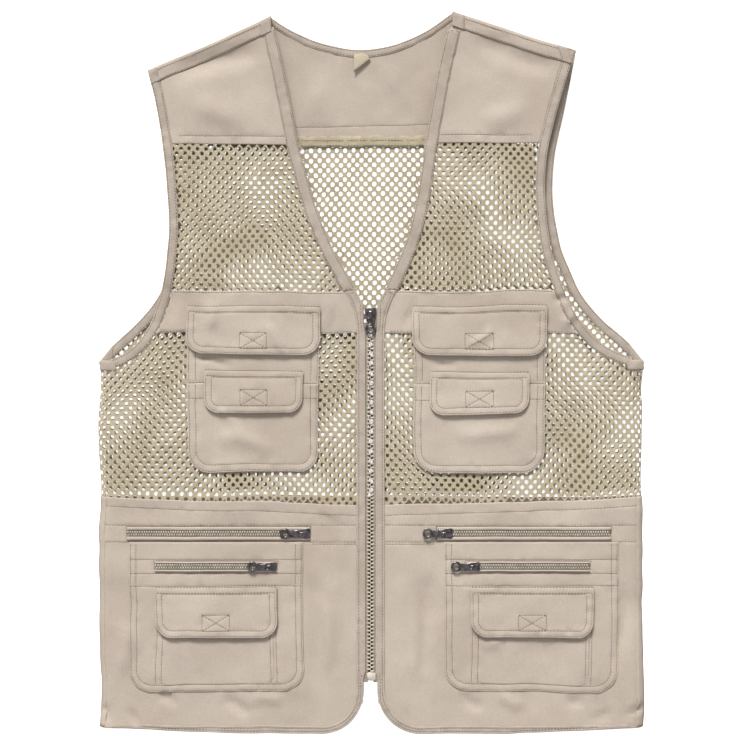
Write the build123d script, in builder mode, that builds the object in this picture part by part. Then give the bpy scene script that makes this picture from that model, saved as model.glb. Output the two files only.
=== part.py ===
from build123d import *
import os

os.makedirs("parts", exist_ok=True)

# Fishing vest lying on its back, millimetres. +Y is the collar end, +Z points out of the vest's front.
# "right" and "left" are the wearer's: the wearer's right is -X.
SIDES = {"right": -1, "left": 1}

# Heights of the layers
CLOTH = 1.2
BACK_TOP = CLOTH
FRONT_LOW = 11.0
FRONT_TOP = FRONT_LOW + CLOTH
FACING = 1.0
GAP = 0.4  # between cloth on the swinging fronts and cloth that stays
PATCH = 0.5

# Body
HALF_WIDTH = 263.4
SIDE_RADIUS = FRONT_TOP  # the cloth turns up round each side in a quarter circle
SWING_X = 250.0  # each front swings about a line along Y here
SPLIT_Y = 80.5  # fronts below this line swing, the shoulder cloth above stays
SHOULDER_STRIP = 14.0
YOKE_LOW = 222.0
BACK_YOKE_LOW = 229.0
CHEST_LOW = 39.5
LOWER_SEAM_CENTRE = -127.0
LOWER_SEAM_SIDE = -118.0
HEM_SIDE = -341.0
HEM_CENTRE = -347.0
HEM_LEVEL = 110.0  # the hem is level this far out, then rises to the side
BACK_HEM_CENTRE = -289.0  # the back hem arches up, so it doesn't show between the front corners
FRONT_EDGE = 6.5
CORNER_RADIUS = 42.0
BINDING = 9.0
NECK_BAND = 11.5
BACK_BINDING = 7.5
PLACKET = 7.0
PLACKET_SHORT = 1.4  # the hem facing stops before the line on which the front swings
UNDERARM = 14.0
V_POINT = 66.5
BAND_LEAN = 0.6  # sideways run of the neck band for each unit up, where it joins the hem facing
NECK_PEAK = {-1: (87.0, 349.0), 1: (87.0, 346.0)}  # for each side, as are the armholes below
SHOULDER_TIP = (207.0, 302.0)
BACK_NECK_LOW = 314.0
REACH = 700.0  # longer than the vest, for trimming
STRIP_STEPS = 12
EASE = 0.1  # the back stops this far short of the cloth that turns up

NECK_CURVE = [(76, 300), (64, 235), (50, 168), (25, 103), (FRONT_EDGE, V_POINT)]
ARMHOLE_FRONT = {
    -1: [(241, 19), (219, 38), (207, 64), (199, 96), (192, 135), (191, 185), (196, 250)],
    1: [(241, 20), (208, 43), (190, 72), (179, 108), (174.5, 150), (176, 190), (186, 237)],
}
ARMHOLE_BACK = {
    -1: [(240, 37), (221, 55), (204, 80), (194, 115), (189, 150), (189, 190), (195, 245)],
    1: [(247, 33), (226, 52), (206, 76), (190, 112), (183, 150), (183.5, 185), (194, 237)],
}

# The upper body lies a little skewed on the table
LAY_START = 82.0
LAY_FULL = 230.0
LAY_SHIFT = -8.5
LAY_TURN = 0.0436

# Pockets: x of the centre for each side, then sizes
CHEST_CENTRE = {"right": 113.5, "left": 104.5}
CHEST_POCKET = (127.0, 60.0, -95.0, 21.0)  # width, top, bottom, corner radius
CHEST_POUCH = (127.0, -10.0, -95.0, 21.0)
CHEST_FLAP = (130.0, 66.5, 18.0, 18.0)
POUCH_FLAP = (96.0, 3.0, -38.6, 14.0)
CARGO_CENTRE = {"right": 149.0, "left": 155.0}
CARGO_POCKET = (168.0, -162.0, -307.0, 23.0)
CARGO_POUCH = (111.0, -214.0, -300.0, 10.0)
CARGO_FLAP = (119.0, -205.0, -254.5, 16.0)
PATCH_SIZE = (27.0, 16.0)
CHEST_PATCH_Y = 32.0
POUCH_PATCH_Y = -23.5
CARGO_PATCH_Y = -240.0
POCKET_TOP = FRONT_TOP + CLOTH
POUCH_TOP = POCKET_TOP + FACING
CHEST_FLAP_LOW = 14.6
HIGH_FLAP_LOW = 15.6
STAY = 3.0  # width of the folded edge that each flap hangs from
STAY_GAP = 0.4

# Pocket zips: ends nearest to and furthest from the centre front, middle line, opening height
LONG_ZIP_Y = -153.7
LONG_ZIP_HIGH = 13.0
LONG_ZIP_X = {"right": (58.0, 235.0), "left": (64.0, 232.0)}
SHORT_ZIP_Y = -185.5
SHORT_ZIP_HIGH = 10.0
SHORT_ZIP_X = {"right": (90.0, 208.0), "left": (92.0, 211.6)}
ZIP_GAP = 1.4
COIL_WIDTH = 2.0
COIL_HIGH = 1.0

# Main zip
ZIP_TOP = 63.6
ZIP_END = -297.0
TOOTH_PITCH = 3.7
TOOTH_LENGTH = 2.0
TOOTH_IN = 0.7
TOOTH_OUT = 2.7
TAPE = 0.5
TAPE_LOW = 11.2
TEETH_LOW = 10.5
TEETH_TOP = 12.5
BOX_Y = (-295.5, -288.0)
BOX_X = (0.4, 5.0)
PIN_X = (0.4, 2.4)
POCKET_TAPE = {"long": (11.8, FRONT_TOP), "short": (13.2, 13.5)}  # heights

# Sliders: place along the chain, length, width, heights of the lower and the upper plate
MAIN_SLIDER_Y = 56.8
MAIN_SLIDER = (13.4, 11.0, (9.6, 10.2), (12.8, 13.5))
LONG_SLIDER_IN = 7.8
LONG_SLIDER = (15.0, 10.0, (11.05, 11.5), (13.6, 14.3))
SHORT_SLIDER_IN = 7.0
SHORT_SLIDER = (13.0, 9.0, (12.5, 12.9), (14.8, 15.5))

# What the sliders and pullers share
POST = 0.7
BRIDGE = (5.0, 3.0)  # length, width
BRIDGE_HIGH = 2.1
PIN_UP = 1.1
PIN_RADIUS = 0.7
PIN_HOLE = 0.75
ARM_IN = 1.8
ARM_OUT = 3.4
PULL_THICK = 1.3
TAB_START = 3.3
TAB_SHORT = 0.2  # the tab ends this far short of the hole's edge
POCKET_RING = (16.6, 5.2, 2.9)  # distance from the pin, outer and inner radius
MAIN_RING = (13.4, 5.3, 2.6)
SOFT_EDGE = CLOTH / 2 - 0.02  # a little under half round, so that a flat face is left

TO_RIGHT = (-1, 0, 0)  # the way each puller lies
TO_HEM = (0, -1, 0)

# Hang loop: width and length, then its place
HANG_LOOP = (17.0, 19.0)
LOOP_LEG = 5.0
LOOP_X = -8.5
LOOP_Y = 310.0
LOOP_LOW = BACK_TOP + FACING + GAP


def laid(x, y):
    """The place of a point of the cut pattern on the vest as it lies."""
    share = min(max((y - LAY_START) / (LAY_FULL - LAY_START), 0), 1)
    return (x + LAY_SHIFT * share, y + LAY_TURN * x * share)


def laid_points(points, side):
    return [laid(side * x, y) for x, y in points]


def export(piece, label):
    piece.part.label = label
    export_step(piece.part, f"parts/{label}.step")


def neck_edge(side):
    return [NECK_PEAK[side], *NECK_CURVE]


def armhole(curve):
    """The whole armhole edge, from the underarm to the shoulder tip."""
    return [(HALF_WIDTH, UNDERARM), *curve, SHOULDER_TIP]


def edge_strip(points, side, width, keep):
    """A strip of cloth along an edge, as a sketch between the heights keep."""
    low, high = keep
    with BuildSketch() as strip:
        with BuildLine():
            outer = Spline(*laid_points(points, side))
            steps = [n / STRIP_STEPS for n in range(STRIP_STEPS + 1)]
            inner = Spline(*[outer @ t + (outer % t).rotate(Axis.Z, side * 90) * width for t in steps])
            Line(outer @ 0, inner @ 0)
            Line(outer @ 1, inner @ 1)
        make_face()
        with Locations((0, (low + high) / 2)):
            Rectangle(REACH, high - low, mode=Mode.INTERSECT)
    return strip.sketch


def front_shape(side, binding):
    """One half of the front, without the binding of its armhole."""
    hem_turn = (side * (FRONT_EDGE + CORNER_RADIUS), HEM_CENTRE)
    corner_start = (side * FRONT_EDGE, HEM_CENTRE + CORNER_RADIUS)
    with BuildSketch() as whole:
        with BuildLine():
            neck = Spline(*laid_points(neck_edge(side), side))
            edge = Line(neck @ 1, corner_start)
            corner = TangentArc(edge @ 1, hem_turn, tangent=edge % 1)
            hem = Line(corner @ 1, (side * HEM_LEVEL, HEM_CENTRE))
            rise = Line(hem @ 1, (side * HALF_WIDTH, HEM_SIDE))
            arm = Spline(*laid_points(armhole(ARMHOLE_FRONT[side]), side))
            Line(rise @ 1, arm @ 0)
            Line(arm @ 1, neck @ 0)
        make_face()
        add(edge_strip(armhole(ARMHOLE_FRONT[side]), side, binding, (0, REACH)), mode=Mode.SUBTRACT)
    return whole.sketch


def shoulder_line(side, down):
    ends = (NECK_PEAK[side], SHOULDER_TIP)
    return [laid(side * x, y - down) for x, y in ends]


def panel(side, binding, region, low=FRONT_LOW, thick=CLOTH, outer=HALF_WIDTH):
    """The cloth of one front inside a region given by its corners."""
    with BuildPart() as piece:
        with BuildSketch(Plane.XY.offset(low)):
            add(front_shape(side, binding))
            with BuildLine():
                Polyline(*region, close=True)
            make_face(mode=Mode.INTERSECT)
            Rectangle(2 * outer, 3 * REACH, mode=Mode.INTERSECT)
        extrude(amount=thick)
    return piece


def band(side, low, high):
    """The corners of a level band right across one front."""
    return [(0, low), (side * REACH, low), (side * REACH, high), (0, high)]


def pocket_sketch(centre, size):
    """A pocket or flap outline with round bottom corners, in the current sketch."""
    width, top, bottom, radius = size
    with Locations((centre, (top + bottom) / 2)):
        Rectangle(width, top - bottom)


def round_bottom(piece, radius):
    """Round the two upright edges nearest the hem."""
    fillet(piece.edges().filter_by(Axis.Z).group_by(Axis.Y)[0], radius)


def flat_pocket(centre, size, low, thick):
    with BuildPart() as piece:
        with BuildSketch(Plane.XY.offset(low)):
            pocket_sketch(centre, size)
        extrude(amount=thick)
        round_bottom(piece, size[3])
    return piece


def stay(centre, size, low, high):
    """The folded edge under the hinge of a flap, on the piece being built."""
    width, top = size[:2]
    with Locations((centre, top + GAP, (low + high) / 2)):
        Box(width, STAY, high - low)


def flap(label, centre, size, low, patch_y):
    """A flap with its hooked patch below; its top edge is round, because it turns there."""
    with BuildPart() as piece:
        with BuildSketch(Plane.XY.offset(low)):
            pocket_sketch(centre, size)
        extrude(amount=CLOTH)
        round_bottom(piece, size[3])
        fillet(piece.edges().filter_by(Axis.X).group_by(Axis.Y)[-1], SOFT_EDGE)
        with BuildSketch(Plane.XY.offset(low - PATCH)):
            with Locations((centre, patch_y)):
                Rectangle(*PATCH_SIZE)
        extrude(amount=PATCH)
    export(piece, label)


def side_arc(side, low, high):
    """The cloth that turns up round the side, between two places along it."""
    centre = side * (HALF_WIDTH - SIDE_RADIUS)
    with BuildSketch(Plane.XZ.offset(-high)) as arc:
        with Locations((centre, 0)):
            Circle(SIDE_RADIUS)
            Circle(SIDE_RADIUS - CLOTH, mode=Mode.SUBTRACT)
        with Locations((centre + side * SIDE_RADIUS / 2, SIDE_RADIUS / 2)):
            Rectangle(SIDE_RADIUS, SIDE_RADIUS, mode=Mode.INTERSECT)
    extrude(arc.sketch, amount=high - low)


def back_shape():
    """The whole back, flat."""
    with BuildSketch() as whole:
        with BuildLine():
            right = Spline(*laid_points(armhole(ARMHOLE_BACK[-1]), -1))
            left = Spline(*laid_points(armhole(ARMHOLE_BACK[1]), 1))
            neck = Spline(shoulder_line(-1, 0)[0], laid(0, BACK_NECK_LOW), shoulder_line(1, 0)[0])
            Line(right @ 1, neck @ 0)
            Line(left @ 1, neck @ 1)
            hem = ThreePointArc((-HALF_WIDTH, HEM_SIDE), (0, BACK_HEM_CENTRE), (HALF_WIDTH, HEM_SIDE))
            Line(hem @ 0, right @ 0)
            Line(hem @ 1, left @ 0)
        make_face()
        Rectangle(2 * (HALF_WIDTH - CLOTH - EASE), 3 * REACH, mode=Mode.INTERSECT)
    return whole.sketch


def back_panel(low, high):
    """The cloth of the back between two places along it, on the piece being built."""
    with BuildSketch() as flat:
        add(back_shape())
        with Locations((0, (low + high) / 2)):
            Rectangle(REACH, high - low, mode=Mode.INTERSECT)
    extrude(flat.sketch, amount=CLOTH)


def slider(label, place, pull, size):
    """A zip slider: two plates joined by a thin post, with a drilled bridge on top."""
    length, width, low_plate, high_plate = size
    top = high_plate[1]
    with BuildPart(Plane(origin=place, x_dir=pull, z_dir=(0, 0, 1))) as piece:
        for low, high in (low_plate, high_plate):
            with Locations((0, 0, (low + high) / 2)):
                Box(length, width, high - low)
        fillet(piece.edges().filter_by(Axis.Z), width / 5)
        with Locations((-length / 4, 0, (low_plate[0] + top) / 2)):
            Box(length / 4, POST, top - low_plate[0])
        with Locations((0, 0, top + BRIDGE_HIGH / 2)):
            Box(*BRIDGE, BRIDGE_HIGH)
        with Locations(Location((0, 0, top + PIN_UP), (90, 0, 0))):
            Cylinder(PIN_HOLE, 2 * BRIDGE[1], mode=Mode.SUBTRACT)
    export(piece, label)


def puller(label, place, pull, size, ring):
    """A puller: a pin through the bridge of a slider, two arms, a tab and a ring."""
    ring_x, ring_out, ring_in = ring
    tab_end = ring_x - ring_in - TAB_SHORT
    with BuildPart(Plane(origin=(*place[:2], size[3][1] + PIN_UP), x_dir=pull, z_dir=(0, 0, 1))) as piece:
        with Locations(Location((0, 0, 0), (90, 0, 0))):
            Cylinder(PIN_RADIUS, 2 * ARM_OUT)
        for y in (-1, 1):
            with Locations(((TAB_START + 1) / 2 - PIN_RADIUS / 2, y * (ARM_IN + ARM_OUT) / 2, 0)):
                Box(TAB_START + 1 + PIN_RADIUS, ARM_OUT - ARM_IN, PULL_THICK)
        with Locations(((TAB_START + tab_end) / 2, 0, 0)):
            Box(tab_end - TAB_START, 2 * ARM_OUT, PULL_THICK)
        with Locations((ring_x, 0, 0)):
            Cylinder(ring_out, PULL_THICK)
            Cylinder(ring_in, PULL_THICK, mode=Mode.SUBTRACT)
    export(piece, label)


def coil_zip(label, side, ends, middle, high, levels):
    """The two tapes of a pocket zip with their coils."""
    near, far = ends
    tape_low, tape_top = levels
    centre = side * (near + far) / 2
    tape = (high - ZIP_GAP) / 2
    with BuildPart() as piece:
        for way in (-1, 1):
            with Locations((centre, middle + way * (ZIP_GAP + tape) / 2, (tape_low + tape_top) / 2)):
                Box(far - near, tape, tape_top - tape_low)
        for way in (-1, 1):
            with Locations((centre, middle + way * (ZIP_GAP + COIL_WIDTH) / 2, tape_top + COIL_HIGH / 2)):
                Box(far - near, COIL_WIDTH, COIL_HIGH)
        fillet(piece.edges().filter_by(Axis.X).group_by(Axis.Z)[-1], COIL_HIGH / 3)
    export(piece, label)


def window(side, ends, middle, high, low, thick):
    """Cut the opening of a pocket zip from the piece being built."""
    near, far = ends
    with Locations((side * (near + far) / 2, middle, low + thick / 2)):
        Box(far - near, high, thick, mode=Mode.SUBTRACT)


# Back
with BuildPart() as back_yoke:
    back_panel(BACK_YOKE_LOW, REACH)
    for side in SIDES.values():
        strip = shoulder_line(side, 0) + shoulder_line(side, SHOULDER_STRIP)[::-1]
        with BuildSketch(Plane.XY.offset(FRONT_LOW)):
            add(front_shape(side, BINDING))
            with BuildLine():
                Polyline(*strip, close=True)
            make_face(mode=Mode.INTERSECT)
        extrude(amount=CLOTH)
        fold = shoulder_line(side, 0) + shoulder_line(side, CLOTH)[::-1]
        with BuildSketch():
            with BuildLine():
                Polyline(*fold, close=True)
            make_face()
            add(front_shape(side, BINDING), mode=Mode.INTERSECT)
        extrude(amount=FRONT_LOW)
export(back_yoke, "back_yoke")

with BuildPart() as back_mesh:
    back_panel(LOWER_SEAM_SIDE, BACK_YOKE_LOW)
export(back_mesh, "back_mesh")

with BuildPart() as back_lower_panel:
    back_panel(HEM_SIDE, LOWER_SEAM_SIDE)
export(back_lower_panel, "back_lower_panel")

with BuildPart() as back_neck_binding:
    with BuildSketch(Plane.XY.offset(BACK_TOP)):
        with BuildLine():
            right_end, left_end = [shoulder_line(side, BACK_BINDING)[0] for side in SIDES.values()]
            Spline(right_end, laid(0, BACK_NECK_LOW - BACK_BINDING), left_end)
            Polyline(right_end, (0, REACH), left_end)
        make_face()
        add(back_shape(), mode=Mode.INTERSECT)
        for side in SIDES.values():
            with BuildLine():
                Polyline(*shoulder_line(side, 2 * CLOTH), *shoulder_line(side, -REACH)[::-1], close=True)
            make_face(mode=Mode.SUBTRACT)
    extrude(amount=FACING)
export(back_neck_binding, "back_neck_binding")

with BuildPart() as hang_loop:
    with BuildSketch(Plane.XY.offset(LOOP_LOW)):
        with Locations((LOOP_X, LOOP_Y - HANG_LOOP[1] / 2)):
            Rectangle(*HANG_LOOP)
        with Locations((LOOP_X, LOOP_Y - HANG_LOOP[1] / 2)):
            Rectangle(HANG_LOOP[0] - 2 * LOOP_LEG, HANG_LOOP[1] - 2 * LOOP_LEG, mode=Mode.SUBTRACT)
    extrude(amount=FACING)
    fillet(hang_loop.edges().filter_by(Axis.X).group_by(Axis.Y)[-1], SOFT_EDGE * FACING / CLOTH)
export(hang_loop, "hang_loop")

for name, side in SIDES.items():
    # Cloth that stays
    yoke_region = shoulder_line(side, SHOULDER_STRIP) + [(side * REACH, YOKE_LOW), (0, YOKE_LOW)]
    export(panel(side, BINDING, yoke_region), f"{name}_shoulder_yoke")
    export(panel(side, BINDING, band(side, SPLIT_Y + GAP, YOKE_LOW)), f"{name}_upper_mesh")

    with BuildPart() as neck_band:
        with BuildSketch(Plane.XY.offset(FRONT_TOP)):
            band_ends = (SPLIT_Y + GAP, NECK_PEAK[side][1] - SHOULDER_STRIP)
            add(edge_strip(neck_edge(side), side, NECK_BAND, band_ends))
            add(front_shape(side, BINDING), mode=Mode.INTERSECT)
        extrude(amount=FACING)
    export(neck_band, f"{name}_neck_band")

    with BuildPart() as armhole_binding:
        with BuildSketch(Plane.XY.offset(FRONT_LOW)):
            add(edge_strip(armhole(ARMHOLE_FRONT[side]), side, BINDING, (0, REACH)))
            Rectangle(2 * (HALF_WIDTH - SIDE_RADIUS), 3 * REACH, mode=Mode.INTERSECT)
        extrude(amount=CLOTH)
        with BuildSketch(Plane.XY.offset(BACK_TOP)):
            add(edge_strip(armhole(ARMHOLE_BACK[side]), side, BINDING, (0, SHOULDER_TIP[1] - SHOULDER_STRIP)))
            add(back_shape(), mode=Mode.INTERSECT)
            Rectangle(2 * (HALF_WIDTH - SIDE_RADIUS), 3 * REACH, mode=Mode.INTERSECT)
        extrude(amount=FACING)
        side_arc(side, UNDERARM - BINDING, UNDERARM)
    export(armhole_binding, f"{name}_armhole_binding")

    with BuildPart() as side_seam:
        side_arc(side, HEM_SIDE, UNDERARM - BINDING)
    export(side_seam, f"{name}_side_seam")

    # Front panels that swing
    edge = BINDING + GAP
    swing_edge = SWING_X + CLOTH / 2
    chest = CHEST_CENTRE[name] * side
    cargo = CARGO_CENTRE[name] * side

    chest_band = panel(side, edge, band(side, CHEST_LOW, SPLIT_Y), outer=swing_edge)
    with chest_band:
        stay(chest, CHEST_FLAP, FRONT_TOP, CHEST_FLAP_LOW - STAY_GAP)
    export(chest_band, f"{name}_chest_band")

    mesh_region = [
        (0, LOWER_SEAM_CENTRE),
        (side * HALF_WIDTH, LOWER_SEAM_SIDE),
        (side * HALF_WIDTH, CHEST_LOW),
        (0, CHEST_LOW),
    ]
    export(panel(side, edge, mesh_region, outer=swing_edge), f"{name}_lower_mesh")

    lower_region = mesh_region[:2] + [(side * HALF_WIDTH, -REACH), (0, -REACH)]
    lower_panel = panel(side, edge, lower_region, outer=swing_edge)
    with lower_panel:
        window(side, LONG_ZIP_X[name], LONG_ZIP_Y, LONG_ZIP_HIGH, FRONT_LOW, CLOTH)
    export(lower_panel, f"{name}_lower_panel")

    with BuildPart() as placket:
        with BuildSketch(Plane.XY.offset(FRONT_TOP)):
            add(front_shape(side, edge))
            Rectangle(2 * (SWING_X - PLACKET_SHORT), 3 * REACH, mode=Mode.INTERSECT)
            with Locations((0, SPLIT_Y - REACH / 2)):
                Rectangle(REACH, REACH, mode=Mode.INTERSECT)
            with BuildLine():
                inner = FRONT_EDGE + PLACKET
                slant = Line((side * REACH, CHEST_LOW), (side * inner, CHEST_LOW))
                inner_edge = Line(slant @ 1, (side * inner, HEM_CENTRE + CORNER_RADIUS))
                turn_end = (side * (FRONT_EDGE + CORNER_RADIUS), HEM_CENTRE + PLACKET)
                turn = TangentArc(inner_edge @ 1, turn_end, tangent=inner_edge % 1)
                hem_edge = Line(turn @ 1, (side * REACH, HEM_SIDE + PLACKET))
                Line(hem_edge @ 1, slant @ 0)
            make_face(mode=Mode.SUBTRACT)
            with BuildLine():
                band_edge = (side * (inner + NECK_BAND), SPLIT_Y)
                turn = Spline((side * inner, CHEST_LOW), band_edge, tangents=[(0, 1), (side * BAND_LEAN, 1)])
                Polyline(turn @ 1, (side * REACH, SPLIT_Y), (side * REACH, CHEST_LOW), turn @ 0)
            make_face(mode=Mode.SUBTRACT)
        extrude(amount=FACING)
    export(placket, f"{name}_placket")

    # Pockets
    chest_pocket = flat_pocket(chest, CHEST_POCKET, FRONT_TOP, CLOTH)
    with chest_pocket:
        stay(chest, POUCH_FLAP, POCKET_TOP, HIGH_FLAP_LOW - STAY_GAP)
    export(chest_pocket, f"{name}_chest_pocket")
    export(flat_pocket(chest, CHEST_POUCH, POCKET_TOP, FACING), f"{name}_chest_pouch")
    flap(f"{name}_chest_flap", chest, CHEST_FLAP, CHEST_FLAP_LOW, CHEST_PATCH_Y)
    flap(f"{name}_pouch_flap", chest, POUCH_FLAP, HIGH_FLAP_LOW, POUCH_PATCH_Y)

    cargo_pocket = flat_pocket(cargo, CARGO_POCKET, FRONT_TOP, CLOTH)
    with cargo_pocket:
        stay(cargo, CARGO_FLAP, POCKET_TOP, HIGH_FLAP_LOW - STAY_GAP)
        window(side, SHORT_ZIP_X[name], SHORT_ZIP_Y, SHORT_ZIP_HIGH, FRONT_TOP, CLOTH)
    export(cargo_pocket, f"{name}_cargo_pocket")
    export(flat_pocket(cargo, CARGO_POUCH, POCKET_TOP, FACING), f"{name}_cargo_pouch")
    flap(f"{name}_cargo_flap", cargo, CARGO_FLAP, HIGH_FLAP_LOW, CARGO_PATCH_Y)

    with BuildPart() as loop_patches:
        for x, y, low in (
            (chest, CHEST_PATCH_Y, POCKET_TOP),
            (chest, POUCH_PATCH_Y, POUCH_TOP),
            (cargo, CARGO_PATCH_Y, POUCH_TOP),
        ):
            with Locations((x, y, low + PATCH / 2)):
                Box(*PATCH_SIZE, PATCH)
    export(loop_patches, f"{name}_loop_patches")

    # Pocket zips
    coil_zip(f"{name}_long_zip", side, LONG_ZIP_X[name], LONG_ZIP_Y, LONG_ZIP_HIGH, POCKET_TAPE["long"])
    coil_zip(f"{name}_short_zip", side, SHORT_ZIP_X[name], SHORT_ZIP_Y, SHORT_ZIP_HIGH, POCKET_TAPE["short"])
    long_place = (side * (LONG_ZIP_X[name][0] + LONG_SLIDER_IN), LONG_ZIP_Y, 0)
    short_place = (side * (SHORT_ZIP_X[name][0] + SHORT_SLIDER_IN), SHORT_ZIP_Y, 0)
    for kind, place, size in (("long", long_place, LONG_SLIDER), ("short", short_place, SHORT_SLIDER)):
        slider(f"{name}_{kind}_slider", place, TO_RIGHT, size)
        puller(f"{name}_{kind}_puller", place, TO_RIGHT, size, POCKET_RING)

    # Main zip: the right half starts below the slider, so that this front can swing out of it
    chain_top = ZIP_TOP if side > 0 else MAIN_SLIDER_Y - MAIN_SLIDER[0] / 2 - GAP
    with BuildPart() as zip_tape:
        tape_width = FRONT_EDGE - TOOTH_OUT
        tape_x = side * (FRONT_EDGE - tape_width / 2)
        with Locations((tape_x, (chain_top + ZIP_END) / 2, TAPE_LOW + TAPE / 2)):
            Box(tape_width, chain_top - ZIP_END, TAPE)
    export(zip_tape, f"{name}_zip_tape")

    with BuildPart() as zip_teeth:
        chain_low = BOX_Y[1] + GAP
        cord = (TOOTH_OUT - TOOTH_IN) / 2
        high = TEETH_TOP - TEETH_LOW
        middle = ((chain_top + chain_low) / 2, (TEETH_LOW + TEETH_TOP) / 2)
        with Locations((side * (TOOTH_OUT - cord / 2), *middle)):
            Box(cord, chain_top - chain_low, high / 2)
        teeth = int((chain_top - chain_low) / TOOTH_PITCH)
        with Locations((side * (TOOTH_IN + TOOTH_OUT) / 2, *middle)):
            with GridLocations(0, TOOTH_PITCH, 1, teeth):
                Box(TOOTH_OUT - TOOTH_IN, TOOTH_LENGTH, high)
    export(zip_teeth, f"{name}_zip_teeth")

main_place = (0, MAIN_SLIDER_Y, 0)
slider("main_slider", main_place, TO_HEM, MAIN_SLIDER)
puller("main_puller", main_place, TO_HEM, MAIN_SLIDER, MAIN_RING)

# The end stops at the foot of the main zip: a box on the left half, a pin on the right half
for label, side, (near, far) in (("zip_box", SIDES["left"], BOX_X), ("zip_pin", SIDES["right"], PIN_X)):
    with BuildPart() as stop:
        with Locations((side * (near + far) / 2, sum(BOX_Y) / 2, (TEETH_LOW + TEETH_TOP) / 2)):
            Box(far - near, BOX_Y[1] - BOX_Y[0], TEETH_TOP - TEETH_LOW)
        fillet(stop.edges().filter_by(Axis.Y), (far - near) / 5)
        with Locations((side * (TOOTH_OUT + FRONT_EDGE) / 2, sum(BOX_Y) / 2, TAPE_LOW + TAPE / 2)):
            Box(FRONT_EDGE - TOOTH_OUT, BOX_Y[1] - BOX_Y[0], TAPE, mode=Mode.SUBTRACT)
    export(stop, label)
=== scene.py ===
from math import pi

import bpy
import numpy as np
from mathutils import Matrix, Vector
from mathutils.geometry import delaunay_2d_cdt


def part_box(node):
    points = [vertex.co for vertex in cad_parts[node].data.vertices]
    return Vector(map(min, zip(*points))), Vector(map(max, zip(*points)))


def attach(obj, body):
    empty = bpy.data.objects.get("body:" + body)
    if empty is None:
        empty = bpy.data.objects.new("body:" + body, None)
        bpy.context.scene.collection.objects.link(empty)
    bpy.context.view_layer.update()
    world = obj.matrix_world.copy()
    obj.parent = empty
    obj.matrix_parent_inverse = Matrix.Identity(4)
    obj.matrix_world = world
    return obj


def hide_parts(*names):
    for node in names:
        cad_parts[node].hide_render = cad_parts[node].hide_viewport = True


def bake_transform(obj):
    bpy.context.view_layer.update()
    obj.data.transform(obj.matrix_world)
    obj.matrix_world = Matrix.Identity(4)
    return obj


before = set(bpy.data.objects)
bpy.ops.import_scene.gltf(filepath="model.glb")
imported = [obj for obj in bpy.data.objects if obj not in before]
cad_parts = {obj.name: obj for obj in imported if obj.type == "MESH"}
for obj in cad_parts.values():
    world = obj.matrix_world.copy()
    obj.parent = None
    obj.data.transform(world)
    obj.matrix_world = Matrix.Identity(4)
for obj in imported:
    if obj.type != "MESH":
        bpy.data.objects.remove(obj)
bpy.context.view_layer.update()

# Everything below is in millimetres and is scaled to metres when a mesh is made.
MM = 0.001
SIDES = {"right": -1, "left": 1}


def node_box(node):
    low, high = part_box(node)
    return np.array(low) / MM, np.array(high) / MM


# ---------------------------------------------------------------- materials

MIX_FACTOR, MIX_A, MIX_B, MIX_RESULT = 0, 6, 7, 2  # the colour sockets of a Mix node


def linear(srgb):
    c = np.array(srgb) / 255
    return (*np.where(c <= 0.04045, c / 12.92, ((c + 0.055) / 1.055) ** 2.4), 1)


def new_material(name, roughness):
    material = bpy.data.materials.new(name)
    material.use_nodes = True
    shader = material.node_tree.nodes["Principled BSDF"]
    shader.inputs["Roughness"].default_value = roughness
    return material, material.node_tree, shader


def add_node(tree, kind, **inputs):
    node = tree.nodes.new(kind)
    for key, value in inputs.items():
        node.inputs[key.replace("_", " ")].default_value = value
    return node


MOTTLE_FROM, MOTTLE_TO = 0.35, 0.65  # the part of the noise that the two colours span


def mottled(tree, dark, light, scale, detail=4.0):
    """A colour that wanders between two, from noise in the object's own space."""
    place = tree.nodes.new("ShaderNodeTexCoord")
    spots = add_node(tree, "ShaderNodeTexNoise", Scale=scale, Detail=detail, Roughness=0.6)
    ramp = tree.nodes.new("ShaderNodeValToRGB")
    ramp.color_ramp.elements[0].position = MOTTLE_FROM
    ramp.color_ramp.elements[1].position = MOTTLE_TO
    ramp.color_ramp.elements[0].color = linear(dark)
    ramp.color_ramp.elements[1].color = linear(light)
    tree.links.new(place.outputs["Object"], spots.inputs["Vector"])
    tree.links.new(spots.outputs["Fac"], ramp.inputs["Fac"])
    return place, ramp


WAVE_SCALE = 0.314  # the wave texture scale that gives one thread a metre


def weave_height(tree, place, pitch):
    """Threads that cross at right angles, pitch metres apart."""
    total = tree.nodes.new("ShaderNodeMath")
    total.operation = "ADD"
    for n, direction in enumerate(("X", "Y")):
        wave = add_node(tree, "ShaderNodeTexWave", Scale=WAVE_SCALE / pitch, Distortion=1.2, Detail=1.0)
        wave.bands_direction = direction
        tree.links.new(place.outputs["Object"], wave.inputs["Vector"])
        tree.links.new(wave.outputs["Fac"], total.inputs[n])
    return total


SLUB_SHARE = 2.4  # how much of the bump is uneven yarn, against 1 for the weave


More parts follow.
